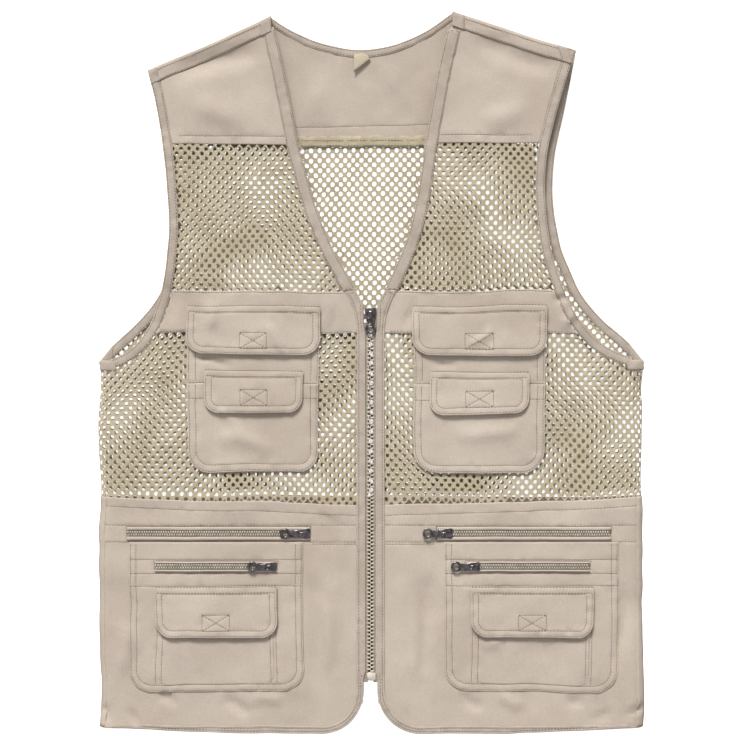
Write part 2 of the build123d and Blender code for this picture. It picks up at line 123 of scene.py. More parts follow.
def cloth_material(name, dark, light, pitch, bump, blotch=14.0):
    material, tree, shader = new_material(name, 0.92)
    shader.inputs["Sheen Weight"].default_value = 0.15
    shader.inputs["Specular IOR Level"].default_value = 0.2
    place, ramp = mottled(tree, dark, light, blotch, detail=9.0)
    threads = weave_height(tree, place, pitch)
    slub = add_node(tree, "ShaderNodeTexNoise", Scale=420.0, Detail=5.0, Roughness=0.7)
    tree.links.new(place.outputs["Object"], slub.inputs["Vector"])
    mixed = tree.nodes.new("ShaderNodeMath")
    mixed.operation = "MULTIPLY_ADD"
    mixed.inputs[1].default_value = SLUB_SHARE
    tree.links.new(slub.outputs["Fac"], mixed.inputs[0])
    tree.links.new(threads.outputs[0], mixed.inputs[2])
    relief_node = add_node(tree, "ShaderNodeBump", Strength=bump, Distance=0.0004)
    tree.links.new(mixed.outputs[0], relief_node.inputs["Height"])
    tree.links.new(relief_node.outputs["Normal"], shader.inputs["Normal"])
    tint = tree.nodes.new("ShaderNodeMix")
    tint.data_type = "RGBA"
    tint.blend_type = "MULTIPLY"
    tint.inputs[MIX_FACTOR].default_value = 0.25
    tree.links.new(ramp.outputs["Color"], tint.inputs[MIX_A])
    tree.links.new(slub.outputs["Fac"], tint.inputs[MIX_B])
    shade = add_node(tree, "ShaderNodeHueSaturation", Saturation=1.0, Value=1.13)
    tree.links.new(tint.outputs[MIX_RESULT], shade.inputs["Color"])
    tree.links.new(shade.outputs["Color"], shader.inputs["Base Color"])
    return material


def hard_material(name, dark, light, roughness, metal=False):
    """Metal or moulded plastic, with a fine worn bump. On metal the mottled colour is painted highlights and
    dark reflections; on plastic it is random tone.
    """
    blotch, grain, strength = (260.0, 900.0, 0.15) if metal else (180.0, 700.0, 0.2)
    material, tree, shader = new_material(name, roughness)
    shader.inputs["Metallic"].default_value = float(metal)
    place, ramp = mottled(tree, dark, light, blotch)
    worn = add_node(tree, "ShaderNodeBump", Strength=strength, Distance=0.0002)
    grain_node = add_node(tree, "ShaderNodeTexNoise", Scale=grain, Detail=3.0)
    tree.links.new(place.outputs["Object"], grain_node.inputs["Vector"])
    tree.links.new(grain_node.outputs["Fac"], worn.inputs["Height"])
    tree.links.new(worn.outputs["Normal"], shader.inputs["Normal"])
    tree.links.new(ramp.outputs["Color"], shader.inputs["Base Color"])
    return material


WOVEN = cloth_material("woven_cotton", (199, 183, 167), (211, 197, 181), 0.0007, 0.5)
BINDING = cloth_material("binding_cotton", (194, 179, 163), (207, 193, 178), 0.0007, 0.6, blotch=60.0)
NET = cloth_material("net_yarn", (219, 202, 169), (236, 221, 190), 0.0005, 0.8, blotch=40.0)
COTTON_TAPE = cloth_material("cotton_tape", (218, 202, 172), (232, 218, 192), 0.0006, 0.8, blotch=80.0)
ZIP_TAPE = cloth_material("zip_tape", (178, 165, 146), (196, 183, 165), 0.0005, 0.7, blotch=50.0)
# The thread's dark taupe is painted shade of the needle holes and the gaps between stitches, on thread that
# is the cloth's own beige.
THREAD_PAINTED_SHADE = cloth_material("thread_painted_shade", (126, 112, 92), (152, 138, 117), 0.0003, 0.5, blotch=300.0)
HOOKS = cloth_material("hook_and_loop", (176, 163, 143), (200, 186, 168), 0.0009, 1.0, blotch=400.0)
TEETH = hard_material("zip_teeth", (196, 183, 165), (218, 207, 190), 0.42)
COIL = hard_material("zip_coil", (176, 165, 150), (206, 196, 182), 0.35)
# Its mottle between dark and light grey is painted highlights and dark reflections on the metal.
GUNMETAL_PAINTED_GLINTS = hard_material("gunmetal_painted_glints", (74, 68, 70), (150, 143, 144), 0.2, metal=True)


# ---------------------------------------------------------------- meshes

def make(name, points, faces, material):
    mesh = bpy.data.meshes.new(name)
    points = wandered(np.asarray(points, float))
    mesh.from_pydata((points * MM).tolist(), [], [tuple(int(i) for i in f) for f in faces])
    mesh.materials.append(material)
    mesh.shade_smooth()
    mesh.validate()
    piece = bpy.data.objects.new(name, mesh)
    bpy.context.scene.collection.objects.link(piece)
    return piece


class Heap:
    """Gathers many small shapes into one mesh."""

    def __init__(self):
        self.points, self.faces, self.count = [], [], 0

    def add(self, points, faces):
        self.points.append(np.asarray(points, float))
        self.faces.extend([tuple(i + self.count for i in f) for f in faces])
        self.count += len(points)

    def make(self, name, material):
        return make(name, np.concatenate(self.points), self.faces, material)


def ring_faces(rings, around, close=True):
    """Quads between successive rings of points, with both ends closed."""
    faces = []
    for r in range(rings - 1):
        for k in range(around):
            n = (k + 1) % around
            faces.append((r * around + k, r * around + n, (r + 1) * around + n, (r + 1) * around + k))
    if close:
        faces.append(tuple(range(around))[::-1])
        faces.append(tuple((rings - 1) * around + k for k in range(around)))
    return faces


def value_noise(x, y, size, seed=0):
    """Smooth noise from -1 to 1 with features of the given size."""
    u, v = np.asarray(x, float) / size + seed * 17.3, np.asarray(y, float) / size - seed * 9.1
    i, j = np.floor(u), np.floor(v)
    fu, fv = u - i, v - j
    fu, fv = fu * fu * (3 - 2 * fu), fv * fv * (3 - 2 * fv)

    def corner(a, b):
        h = np.sin(a * 127.1 + b * 311.7 + seed * 74.7) * 43758.5453
        return 2 * (h - np.floor(h)) - 1

    top = corner(i, j + 1) * (1 - fu) + corner(i + 1, j + 1) * fu
    low = corner(i, j) * (1 - fu) + corner(i + 1, j) * fu
    return low * (1 - fv) + top * fv


ZIP_ROWS = (-153.7, -185.5)  # heights of the coil zips across the fronts
WRINKLE = 2.1  # height of the soft unevenness
CREASE_GAIN = 3.0  # how much higher the creases are than their table says
WANDER = 1.5  # how far seams and edges stray sideways

# Creases as (from x, from y, to x, to y, half width, height); a negative height is a valley
CREASES = {
    -1: [
        (205, -311, 184, -316, 3.5, -1.3), (143, -317, 116, -325, 4.0, -1.3),
        (118, -318, 84, -311, 4.0, 0.9), (262, -322, 250, -334, 3.0, -1.2),
        (236, -326, 222, -337, 3.0, -1.0), (240, -240, 236, -290, 6.0, 1.0),
        (50, -134, 28, -160, 4.0, -1.0), (46, -215, 38, -290, 5.0, 1.0), (196, 287, 106, 317, 9.0, -1.6),
        (170, 262, 120, 240, 12.0, 1.2), (160, 70, 150, 42, 6.0, 1.0), (200, 88, 192, 48, 5.0, -1.2),
        (44, 76, 42, 44, 3.0, 0.9), (150, -60, 90, -72, 7.0, 0.8), (60, -95, 48, -330, 9.0, -0.8),
        (174, 13, 130, 8, 2.6, -1.0), (104, 49, 80, 20, 4.0, 0.7), (150, -36, 120, -60, 5.0, 0.6),
    ],
    1: [
        (205, -312, 190, -318, 3.5, -1.0), (150, -318, 120, -312, 4.0, 1.0),
        (110, -320, 84, -314, 4.0, -1.0), (262, -316, 246, -332, 3.0, -1.1),
        (230, -322, 214, -336, 3.0, -0.9), (245, -200, 238, -290, 6.0, -1.0),
        (52, -140, 30, -156, 4.0, 0.9), (40, -215, 46, -300, 5.0, 1.0), (186, 296, 96, 318, 9.0, -1.3),
        (150, 262, 110, 236, 12.0, 1.2), (196, 70, 186, 42, 5.0, 1.0), (40, 78, 36, 44, 3.0, -0.9),
        (150, -50, 80, -62, 7.0, 0.8), (58, -95, 46, -330, 9.0, -0.8), (196, 84, 176, 66, 4.0, -0.9),
        (84, 13, 56, 9, 2.6, -0.9), (120, 50, 96, 24, 4.0, 0.6), (128, -250, 108, -268, 5.0, 0.6),
    ],
}


def calm(x, y):
    """1 on open cloth, 0 along the zips, which lie flat."""
    quiet = np.clip((np.abs(x) - 12) / 22, 0, 1)
    for row in ZIP_ROWS:
        quiet = quiet * np.clip((np.abs(y - row) - 6) / 16, 0, 1)
    return quiet


def creases(x, y):
    """Soft ridges and valleys along short lines, with ends that fade out."""
    total = 0 * x
    for side, folds in CREASES.items():
        for x0, y0, x1, y1, wide, high in folds:
            along = np.array((side * (x1 - x0), y1 - y0), float)
            length = np.linalg.norm(along)
            along /= length
            u = ((x - side * x0) * along[0] + (y - y0) * along[1]) / length
            v = (x - side * x0) * along[1] - (y - y0) * along[0]
            v = v + 2.5 * np.sin(5 * u)
            end = 2 * u - 1
            fade = 2.2 * end ** 4 * (np.abs(end) > 0.4)
            total = total + high * np.exp(-(v / wide) ** 2 - fade)
    return total


def relief(x, y):
    """The unevenness of the cloth, the same for every layer on the front."""
    x, y = np.asarray(x, float), np.asarray(y, float)
    sway = 9 * value_noise(x, y, 60, 4)
    folds = value_noise(x + sway, 0.45 * y, 34, 1) + 0.5 * value_noise(0.6 * x, y + sway, 23, 2)
    soft = 0.62 * folds + 0.45 * value_noise(x, y, 75, 3) + 0.17 * value_noise(x, y, 12, 6)
    return calm(x, y) * (WRINKLE * soft + CREASE_GAIN * creases(x, y))


def wandered(points):
    """Seams and edges wander a little sideways, by the same amount for every piece at the same place."""
    x, y = points[:, 0], points[:, 1]
    moved = points.copy()
    for k in (0, 1):
        stray = value_noise(x, y, 62, 41 + k) + 0.3 * value_noise(x, y, 19, 43 + k)
        moved[:, k] += WANDER * calm(x, y) * stray
    return moved


# Soft folds of the back below the neck, as (sideways per mm down, x at the neck, half width, height)
BACK_FOLDS = [
    (-0.9, 14, 9, 0.9), (0.7, -36, 8, 0.8), (1.1, 44, 8, -0.7), (-0.4, -64, 7, 0.7), (0.5, 72, 7, 0.7),
]


def back_relief(x, y):
    """The back lies on the table, so it only rises."""
    x, y = np.asarray(x, float), np.asarray(y, float)
    folds = sum(high * np.exp(-((x - a * (y - 290) - b) / wide) ** 2) for a, b, wide, high in BACK_FOLDS)
    fade = np.clip((y - 236) / 30, 0, 1) * np.clip((318 - y) / 30, 0, 1)
    return 1.0 + 1.0 * value_noise(x, y, 44, 7) + 0.3 * value_noise(x, y, 14, 8) + folds * fade


# ---------------------------------------------------------------- outlines

def outline_of(node, z, up):
    """The closed outlines, largest first, of a CAD node's level faces at height z."""
    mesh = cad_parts[node].data
    mesh.calc_loop_triangles()
    co = np.array([v.co for v in mesh.vertices], float) / MM
    tri = np.array([t.vertices for t in mesh.loop_triangles])
    normal = np.cross(co[tri[:, 1]] - co[tri[:, 0]], co[tri[:, 2]] - co[tri[:, 0]])
    flat = (np.abs(co[tri][:, :, 2] - z).max(1) < 0.05) & ((normal[:, 2] > 0) == up)
    keys = {}
    ids = np.array([keys.setdefault((round(p[0], 3), round(p[1], 3)), len(keys)) for p in co])
    place = np.array(list(keys))
    count = {}
    for t in ids[tri[flat]]:
        for a, b in ((t[0], t[1]), (t[1], t[2]), (t[2], t[0])):
            if (b, a) in count:
                del count[(b, a)]
            else:
                count[(a, b)] = True
    after = {}
    for a, b in count:
        after.setdefault(a, []).append(b)
    loops = []
    while after:
        start = next(iter(after))
        loop, at = [], start
        while at in after:
            loop.append(at)
            following = after[at].pop()
            if not after[at]:
                del after[at]
            at = following
        if len(loop) > 2:
            loops.append(place[loop])
    return sorted(loops, key=lambda p: -abs(area_of(p)))


def area_of(p):
    q = np.roll(p, -1, 0)
    return 0.5 * float((p[:, 0] * q[:, 1] - q[:, 0] * p[:, 1]).sum())


def resampled(loop, step, closed=True):
    """Points at most step apart along a line, with its corners kept."""
    out = []
    last = len(loop) if closed else len(loop) - 1
    for k in range(last):
        a, b = loop[k], loop[(k + 1) % len(loop)]
        n = max(1, int(np.ceil(np.linalg.norm(b - a) / step)))
        out.extend(a + (b - a) * t / n for t in range(n))
    if not closed:
        out.append(loop[-1])
    return np.array(out)


def inside(points, loops):
    """Whether each point is inside the outlines, by crossings."""
    x, y = points[:, 0], points[:, 1]
    odd = np.zeros(len(points), bool)
    for loop in loops:
        a, b = loop, np.roll(loop, -1, 0)
        for (ax, ay), (bx, by) in zip(a, b):
            if ay == by:
                continue
            hit = ((ay > y) != (by > y)) & (x < (bx - ax) * (y - ay) / (by - ay) + ax)
            odd ^= hit
    return odd


def distance(points, lines):
    """Distance from each point to the nearest of some lines, each an array of points."""
    best = np.full(len(points), 1e9)
    for line in lines:
        a, b = line[:-1], line[1:]
        for start in range(0, len(points), 2000):
            p = points[start:start + 2000, None]
            d = b - a
            t = np.clip(((p - a) * d).sum(2) / np.maximum((d * d).sum(1), 1e-9), 0, 1)
            near = np.linalg.norm(p - (a + t[..., None] * d), axis=2).min(1)
            best[start:start + 2000] = np.minimum(best[start:start + 2000], near)
    return best


def closed_line(loop):
    return np.vstack([loop, loop[:1]])


def normals_in(loop):
    """Unit vectors into the cloth at the points of an outline that has the cloth on its left."""
    d = np.roll(loop, -1, 0) - np.roll(loop, 1, 0)
    d /= np.maximum(np.linalg.norm(d, axis=1), 1e-9)[:, None]
    return np.stack([-d[:, 1], d[:, 0]], 1)


def inset(loops, far, keep=None):
    """Open lines that run a distance inside the outlines, where keep allows them."""
    out = []
    borders = [closed_line(p) for p in loops]
    for loop in loops:
        p = resampled(loop, 1.5)
        moved = p + normals_in(p) * far
        good = distance(moved, borders) > far - 0.12
        if keep is not None:
            good &= keep(moved[:, 0], moved[:, 1])
        if good.all():
            out.append(closed_line(moved))
            continue
        first = int(np.argmin(good))
        moved, good = np.roll(moved, -first, 0), np.roll(good, -first)
        run = []
        for q, ok in zip(moved, good):
            if ok:
                run.append(q)
            elif run:
                out.append(np.array(run))
                run = []
        if run:
            out.append(np.array(run))
    return [line for line in out if len(line) > 3]


# ---------------------------------------------------------------- cloth panels

SMALLEST_SHEET = 0.03  # narrower strips are tapes and bindings, not sheets
SHEET_SHARE = 0.35  # an outline that fills less of its box than this is a strip too
EDGE_ROWS = (0.35, 0.9, 1.8)  # extra rows of points that round the edge
GROOVE, GROOVE_WIDTH = 0.34, 0.85  # the channel that a row of stitches pulls into the cloth
STITCH, STITCH_LENGTH, STITCH_RADIUS = 3.0, 2.2, 0.3
stitch_heaps = {}


def capsule():
    """A short thread, 1 long along x, with a unit radius."""
    rings = [(-0.5, 0.3), (-0.38, 0.85), (0, 1.0), (0.38, 0.85), (0.5, 0.3)]
    turn = np.arange(6) * pi / 3
    points = [(x, r * np.cos(a), r * np.sin(a)) for x, r in rings for a in turn]
    return np.array(points), ring_faces(len(rings), 6)


CAPSULE, CAPSULE_FACES = capsule()


def lay_capsules(heap, starts, ends, radius, bow=0.0):
    for a, b in zip(starts, ends):
        along = b - a
        length = np.linalg.norm(along)
        if length < 1e-6:
            continue
        along = along / length
        side = np.cross((0, 0, 1.0), along)
        side /= max(np.linalg.norm(side), 1e-9)
        up = np.cross(along, side)
        local = CAPSULE * (length, radius, radius)
        lift = bow * (1 - (2 * CAPSULE[:, 0]) ** 2)
        high = local[:, 2:] + lift[:, None]
        points = (a + b) / 2 + local[:, :1] * along + local[:, 1:2] * side + high * up
        heap.add(points, CAPSULE_FACES)


def sew(heap_name, lines, height, bend=None):
    """Stitches along flat lines, on a surface of the given height."""
    heap = stitch_heaps.setdefault(heap_name, Heap())
    for line in lines:
        steps = np.linalg.norm(np.diff(line, axis=0), axis=1)
        along = np.concatenate([[0], np.cumsum(steps)])
        count = int(along[-1] / STITCH)
        if not count:
            continue
        first = (np.arange(count) + 0.15) * along[-1] / count
        ends = []
        for s in (first, first + STITCH_LENGTH):
            x, y = (np.interp(s, along, line[:, k]) for k in (0, 1))
            laid = np.stack([x, y, height(x, y) + 0.08], 1)
            ends.append(laid if bend is None else bend(laid))
        lay_capsules(heap, ends[0], ends[1], STITCH_RADIUS, 0.12)


def panel(name, loops, top, thick, rows=(), lines=(), grid=5.0, material=WOVEN, stitches=None, base=relief,
          edge_drop=0.45, shape=None, pucker=0.5, keep=None, bend=None):
    """A piece of cloth with the given outlines: rolled edges, sewn channels and soft unevenness."""
    loops = [p if (area_of(p) > 0) == (n == 0) else p[::-1] for n, p in enumerate(loops)]
    fine = [resampled(p, 2.6) for p in loops]
    borders = [closed_line(p) for p in fine]
    low, high = loops[0].min(0), loops[0].max(0)
    seams = [line for far in rows for line in inset(loops, far, keep)] + [np.asarray(p, float) for p in lines]
    cloud = []
    for far in EDGE_ROWS:
        for p in fine:
            cloud.append(p + normals_in(p) * far)
    for seam in seams:
        run = resampled(seam, 2.2, closed=False)
        way = np.gradient(run, axis=0)
        way /= np.maximum(np.linalg.norm(way, axis=1), 1e-9)[:, None]
        side = np.stack([-way[:, 1], way[:, 0]], 1)
        cloud.extend(run + side * far for far in (-2.0, -0.95, 0, 0.95, 2.0))
    gx, gy = np.meshgrid(np.arange(low[0], high[0], grid), np.arange(low[1], high[1], grid))
    gx = gx + (np.arange(gx.shape[0]) % 2)[:, None] * grid / 2
    net_points = np.stack([gx.ravel(), gy.ravel()], 1)
    if seams:
        net_points = net_points[distance(net_points, seams) > 2.6]
    cloud.append(net_points)
    cloud = np.concatenate(cloud)
    cloud = cloud[inside(cloud, fine)]
    cloud = cloud[distance(cloud, borders) > 0.3]
    cell = np.unique(np.round(cloud / 0.55).astype(int), axis=0, return_index=True)[1]
    cloud = cloud[cell]
    flat, edges = [], []
    for p in fine:
        first = len(flat)
        flat.extend(p)
        edges.extend((first + k, first + (k + 1) % len(p)) for k in range(len(p)))
    flat = np.concatenate([np.array(flat), cloud])
    got = delaunay_2d_cdt([Vector(p) for p in flat], edges, [], 0, 1e-4)
    xy = np.array([tuple(v) for v in got[0]])
    tri = np.array([f for f in got[2] if len(f) == 3])
    tri = tri[inside(xy[tri].mean(1), fine)]
    used = np.unique(tri)
    back = np.full(len(xy), -1)
    back[used] = np.arange(len(used))
    xy, tri = xy[used], back[tri]
    rim = distance(xy, borders)
    sewn = distance(xy, seams) if seams else np.full(len(xy), 99.0)

    def crown(x, y, d_rim, d_seam):
        z = top + base(x, y)
        z = z - thick * edge_drop * np.clip(1 - d_rim / 0.9, 0, 1) ** 2
        z = z - GROOVE * np.exp(-(d_seam / GROOVE_WIDTH) ** 2)
        z = z + pucker * value_noise(x, y, 6.2, 11) * np.exp(-(d_seam / 4.5) ** 2)
        return z if shape is None else z + shape(x, y)

    z_top = crown(xy[:, 0], xy[:, 1], rim, sewn)
    under = top - thick + base(xy[:, 0], xy[:, 1]) + (0 if shape is None else shape(xy[:, 0], xy[:, 1]))
    z_low = np.minimum(under + thick * 0.15 * np.clip(1 - rim / 0.9, 0, 1), z_top - 0.12)
    n = len(xy)
    points = np.concatenate([np.column_stack([xy, z_top]), np.column_stack([xy, z_low])])
    if bend is not None:
        points = bend(points)
    faces = [tuple(t) for t in tri] + [(t[0] + n, t[2] + n, t[1] + n) for t in tri]
    half = {}
    for t in tri:
        for a, b in ((t[0], t[1]), (t[1], t[2]), (t[2], t[0])):
            half[(a, b)] = True
    faces += [(b, a, a + n, b + n) for a, b in half if (b, a) not in half]
    piece = make(name, points, faces, material)
    if stitches:
        sew(stitches, seams, lambda x, y: crown(x, y, 9.0, 0.0), bend)
    width, length = (high - low) * MM
    cut = (abs(area_of(loops[0])) - sum(abs(area_of(p)) for p in loops[1:])) * MM ** 2
    min(width, length) > SMALLEST_SHEET and cut > SHEET_SHARE * width * length
    return piece


def grid_cloth(name, mid, thick, material):
    """A closed sheet about a grid of points on its middle surface."""
    rows, cols = mid.shape[:2]
    du, dv = np.gradient(mid, axis=0), np.gradient(mid, axis=1)
    normal = np.cross(du, dv)
    normal /= np.maximum(np.linalg.norm(normal, axis=2), 1e-9)[..., None]
    points = np.concatenate([(mid + s * normal * thick / 2).reshape(-1, 3) for s in (1, -1)])
    n = rows * cols
    faces = []
    for r in range(rows - 1):
        for c in range(cols - 1):
            a = r * cols + c
            faces.append((a, a + cols, a + cols + 1, a + 1))
            faces.append((a + n, a + 1 + n, a + cols + 1 + n, a + cols + n))
    border = ([r * cols for r in range(rows)] + [(rows - 1) * cols + c for c in range(1, cols)]
              + [r * cols + cols - 1 for r in range(rows - 2, -1, -1)] + [c for c in range(cols - 2, 0, -1)])
    for k, a in enumerate(border):
        b = border[(k + 1) % len(border)]
        faces.append((b, a, a + n, b + n))
    return make(name, points, faces, material)


# ---------------------------------------------------------------- net

NET_X, NET_Y = 8.0, 9.2  # distance between holes side by side and one above the other
YARN = 0.6
HOLE = np.array([
    (2.3, 0.1), (1.75, 1.75), (0, 2.55), (-1.75, 1.75), (-2.3, 0.1), (-1.75, -1.8), (0, -2.65), (1.75, -1.8),
])  # one hole's rim, from its middle
# The corners of its cell, in half steps
AROUND = np.array([(2, 0), (1, 1), (0, 2), (-1, 1), (-2, 0), (-1, -1), (0, -2), (1, -1)])


def net(name, wanted, place, extent, stretch=(1.0, 1.0), lean=0.0, phase=(0.0, 0.0), seed=1, hole=1.0):
    """A knitted net of staggered holes. wanted says which flat places have a cell, place lifts flat points
    into space and extent is the flat box that is searched."""
    px, py = NET_X * stretch[0] / 2, NET_Y * stretch[1] / 2
    (x0, y0), (x1, y1) = extent
    i = np.arange(int(x0 / px) - 3, int(x1 / px) + 4)
    j = np.arange(int(y0 / py) - 3, int(y1 / py) + 4)
    ii, jj = (a.ravel() for a in np.meshgrid(i, j))
    even = (ii + jj) % 2 == 0
    ii, jj = ii[even], jj[even]

    def flat(u, v):
        x, y = u * px + phase[0], v * py + phase[1]
        wave_x = 1.6 * value_noise(x, y, 46, seed) + 0.35 * value_noise(x, y, 9, seed + 5)
        wave_y = 1.6 * value_noise(x, y, 52, seed + 1) + 0.35 * value_noise(x, y, 9, seed + 6)
        return x + lean * y + wave_x, y + wave_y

    cx, cy = flat(ii, jj)
    ok = wanted(cx, cy)
    ii, jj = ii[ok], jj[ok]
    frame_keys = np.stack([2 * ii[:, None] + AROUND[:, 0], 2 * jj[:, None] + AROUND[:, 1]], 2)
    unique, index = np.unique(frame_keys.reshape(-1, 2), axis=0, return_inverse=True)
    index = index.reshape(len(ii), 8)
    bx, by = flat(unique[:, 0] / 2, unique[:, 1] / 2)
    hx = (ii[:, None] + hole * HOLE[:, 0] / (NET_X / 2)).ravel()
    hy = (jj[:, None] + hole * HOLE[:, 1] / (NET_Y / 2)).ravel()
    rx, ry = flat(hx, hy)
    border, normal = place(bx, by)
    rim, _ = place(rx, ry)
    knot = np.where((unique[:, 0] + unique[:, 1]) % 2 == 0, 1.0, 0.8)[:, None]
    m = len(border)
    points = np.concatenate([border + normal * YARN / 2 * knot, border - normal * YARN / 2 * knot, rim])
    faces = []
    rims = 2 * m + np.arange(len(ii) * 8).reshape(-1, 8)
    for k in range(8):
        n = (k + 1) % 8
        top = np.stack([index[:, k], index[:, n], rims[:, n], rims[:, k]], 1)
        low = np.stack([index[:, n] + m, index[:, k] + m, rims[:, k], rims[:, n]], 1)
        faces.extend(top.tolist())
        faces.extend(low.tolist())
    piece = make(name, points, faces, NET)
    ends = np.array([edge.vertices for edge in piece.data.edges])
    crisp = piece.data.attributes.new("sharp_edge", "BOOLEAN", "EDGE")
    crisp.data.foreach_set("value", (ends >= 2 * m).all(1))
    cell = px * py * 2 - hole ** 2 * abs(area_of(HOLE))
    return piece


# ---------------------------------------------------------------- building blocks placed by the CAD

FRONT_LOW = node_box("right_upper_mesh")[0][2]
CLOTH = node_box("right_upper_mesh")[1][2] - FRONT_LOW
FRONT_TOP = FRONT_LOW + CLOTH
SPLIT_Y = node_box("right_chest_band")[1][1]
YOKE_Y = node_box("right_shoulder_yoke")[0][1]
SHOULDER_Y = 0.5 * (node_box("right_shoulder_yoke")[1][1] + node_box("right_armhole_binding")[1][1])
SWING_X = node_box("left_lower_panel")[1][0]
SEAM_OUT = node_box("left_side_seam")[1][0]
SEAM_IN = node_box("left_side_seam")[0][0]
SEAM_TOP = node_box("left_side_seam")[1][1]
LOWER_Y = node_box("back_lower_panel")[1][1]
HEM_Y = node_box("left_side_seam")[0][1]


LIFT = 0.3  # keeps the turned-down edges off the floor
JUST_IN = 0.1
SIDE_RADIUS = SEAM_OUT - SEAM_IN - CLOTH / 2
SIDE_END = SEAM_IN + SIDE_RADIUS * pi / 2


def to_side(loops):
    """Outlines whose straight outer edge is let out, to go round the side down to the table."""
    out = []
    for loop in loops:
        moved = loop.copy()
        edge = np.abs(moved[:, 0]) > SWING_X - JUST_IN
        moved[edge, 0] = np.sign(moved[edge, 0]) * SIDE_END
        out.append(moved)
    return out


def round_side(points):
    """Flat cloth, bent round the side where it is farther out than the start of the turn."""
    x, y, z = points.T
    turn = np.clip((np.abs(x) - SEAM_IN) / SIDE_RADIUS, 0, pi / 2)
    bent = turn > 0
    out = np.where(bent, np.sign(x) * (SEAM_IN + z * np.sin(turn)), x)
    return np.stack([out, y, np.where(bent, z * np.cos(turn) + LIFT * np.sin(turn), z)], 1)


ZIP_EDGE, SLIDER_EDGE = 4.9, 7.2  # how near the placket comes to the middle, beside the teeth and the slider
SLIDER_TOP, STOPS_LOW = 36, -286  # above and below these heights the placket keeps back


def to_zip(loops):
    """The placket's outlines, let out to the teeth and kept back beside the slider and the bottom box."""
    out = []
    for loop in loops:
        moved = resampled(loop, 3.0)
        near = np.abs(moved[:, 0]) < SLIDER_EDGE + 1.3
        y = moved[:, 1]
        clear = np.clip((y - SLIDER_TOP) / 14, 0, 1) + np.clip((STOPS_LOW - y) / 9, 0, 1)
        wide = ZIP_EDGE + (SLIDER_EDGE - ZIP_EDGE) * clear ** 2 * (3 - 2 * clear)
        moved[near, 0] = np.sign(moved[near, 0]) * wide[near]
        out.append(moved)
    return out


def net_place(x, y):
    """Where net cloth at a flat place of a front lies, and its normal."""
    turn = np.clip((np.abs(x) - SEAM_IN) / SIDE_RADIUS, 0, pi / 2)
    points = round_side(np.stack([x, y, FRONT_LOW + 0.35 + relief(x, y)], 1))
    return points, np.stack([np.sign(x) * np.sin(turn), 0 * x, np.cos(turn)], 1)


def swing_side(piece):
    """Cloth at the side seam and on the front beyond it; only its transform is baked into its mesh."""
    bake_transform(piece)


def ride_front(piece):
    """Cloth between the shoulder, which stays, and the front, which swings; only its transform is baked into
    its mesh.
    """
    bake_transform(piece)


def stitch_piece(heap_name):
    return stitch_heaps[heap_name].make(heap_name, THREAD_PAINTED_SHADE)


def straight(x0, y0, x1, y1):
    return np.array([(x0, y0), (x1, y1)])


def flat_cloth(node, body=None, up=False, add=0.0, thick=CLOTH, reshape=None, **options):
    """A panel with the outline and height of its CAD node."""
    low, high = node_box(node)
    level = high[2] if up else low[2]
    top = level + (0 if up else thick) + add
    loops = outline_of(node, level, up)
    loops = loops if reshape is None else reshape(loops)
    piece = panel(f"{node}_cloth", loops, top, thick, **options)
    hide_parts(node)
    if body:
        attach(piece, body)
    return piece


def cross_box(x, y, width, height):
    """The lines of a sewn rectangle with its diagonals."""
    a, b = width / 2, height / 2
    box = np.array([(x - a, y - b), (x + a, y - b), (x + a, y + b), (x - a, y + b), (x - a, y - b)])
    return [box, np.array([(x - a, y - b), (x + a, y + b)]), np.array([(x - a, y + b), (x + a, y - b)])]


# ---------------------------------------------------------------- back

BOUND = dict(rows=(1.3,), grid=3.0, material=BINDING)  # a binding with one row of stitches


def build_back():
    flat_cloth("back_yoke", "vest", base=back_relief, grid=5.5, stitches="vest_stitches",
               lines=[straight(-185, YOKE_Y + 15, 183, YOKE_Y + 22)])
    low, high = node_box("back_mesh")
    loops = outline_of("back_mesh", low[2], False)

    def place(x, y):
        z = 0.75 + 0.4 * back_relief(x, y)
        return np.stack([x, y, z], 1), np.tile((0, 0, 1.0), (len(x), 1))

    def wanted(x, y):
        points = np.stack([x, y], 1)
        return inside(points, loops) & (distance(points, [closed_line(loops[0])]) > 3.5)

    mesh = net("back_mesh_net", wanted, place, (low[:2], high[:2]), stretch=(1.055, 1.02), seed=3, hole=0.86)
    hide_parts("back_mesh")
    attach(mesh, "vest")

    flat_cloth("back_lower_panel", "vest", base=back_relief, grid=6.0, rows=(1.5, 8.0),
               stitches="vest_stitches", keep=lambda x, y: (y < LOWER_Y - 14) & (np.abs(x) < SEAM_IN - 4))
    flat_cloth("back_neck_binding", "vest", base=back_relief, thick=1.0, stitches="vest_stitches",
               **BOUND)

    # the turned edge of the net below the yoke, seen inside the neck
    top = node_box("back_yoke")[0][1]
    x = np.linspace(-150, 140, 120)
    across = np.array([(0.0, 0.0), (0.5, 0.35), (0.5, 0.9), (0.45, 1.6), (0.2, 2.0)])
    mid = np.zeros((len(x), len(across), 3))
    for n, (rise, down) in enumerate(across):
        mid[:, n, 0] = x
        mid[:, n, 1] = top + 1.5 - down * 5.4 + 0.5 * value_noise(x, 0 * x + n, 7, 5)
        mid[:, n, 2] = 1.9 + rise + 0.85 * value_noise(x, 0 * x + 3 * n, 3.4, 8)
    turned = grid_cloth("back_yoke_seam", mid[:, ::-1], 0.7, NET)
    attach(turned, "vest")
    rows = [straight(x[0], top - down, x[-1], top - down) for down in (2.5, 7.5)]
    sew("vest_stitches", rows, lambda x, y: 2.75 + 0 * x)


# ---------------------------------------------------------------- sides

def around(side, s, y, out):
    """Points round the side, s along the cloth and out from the middle of the cloth."""
    return round_side(np.stack([side * s, y, SIDE_RADIUS + out + relief(side * s, y)], 1))


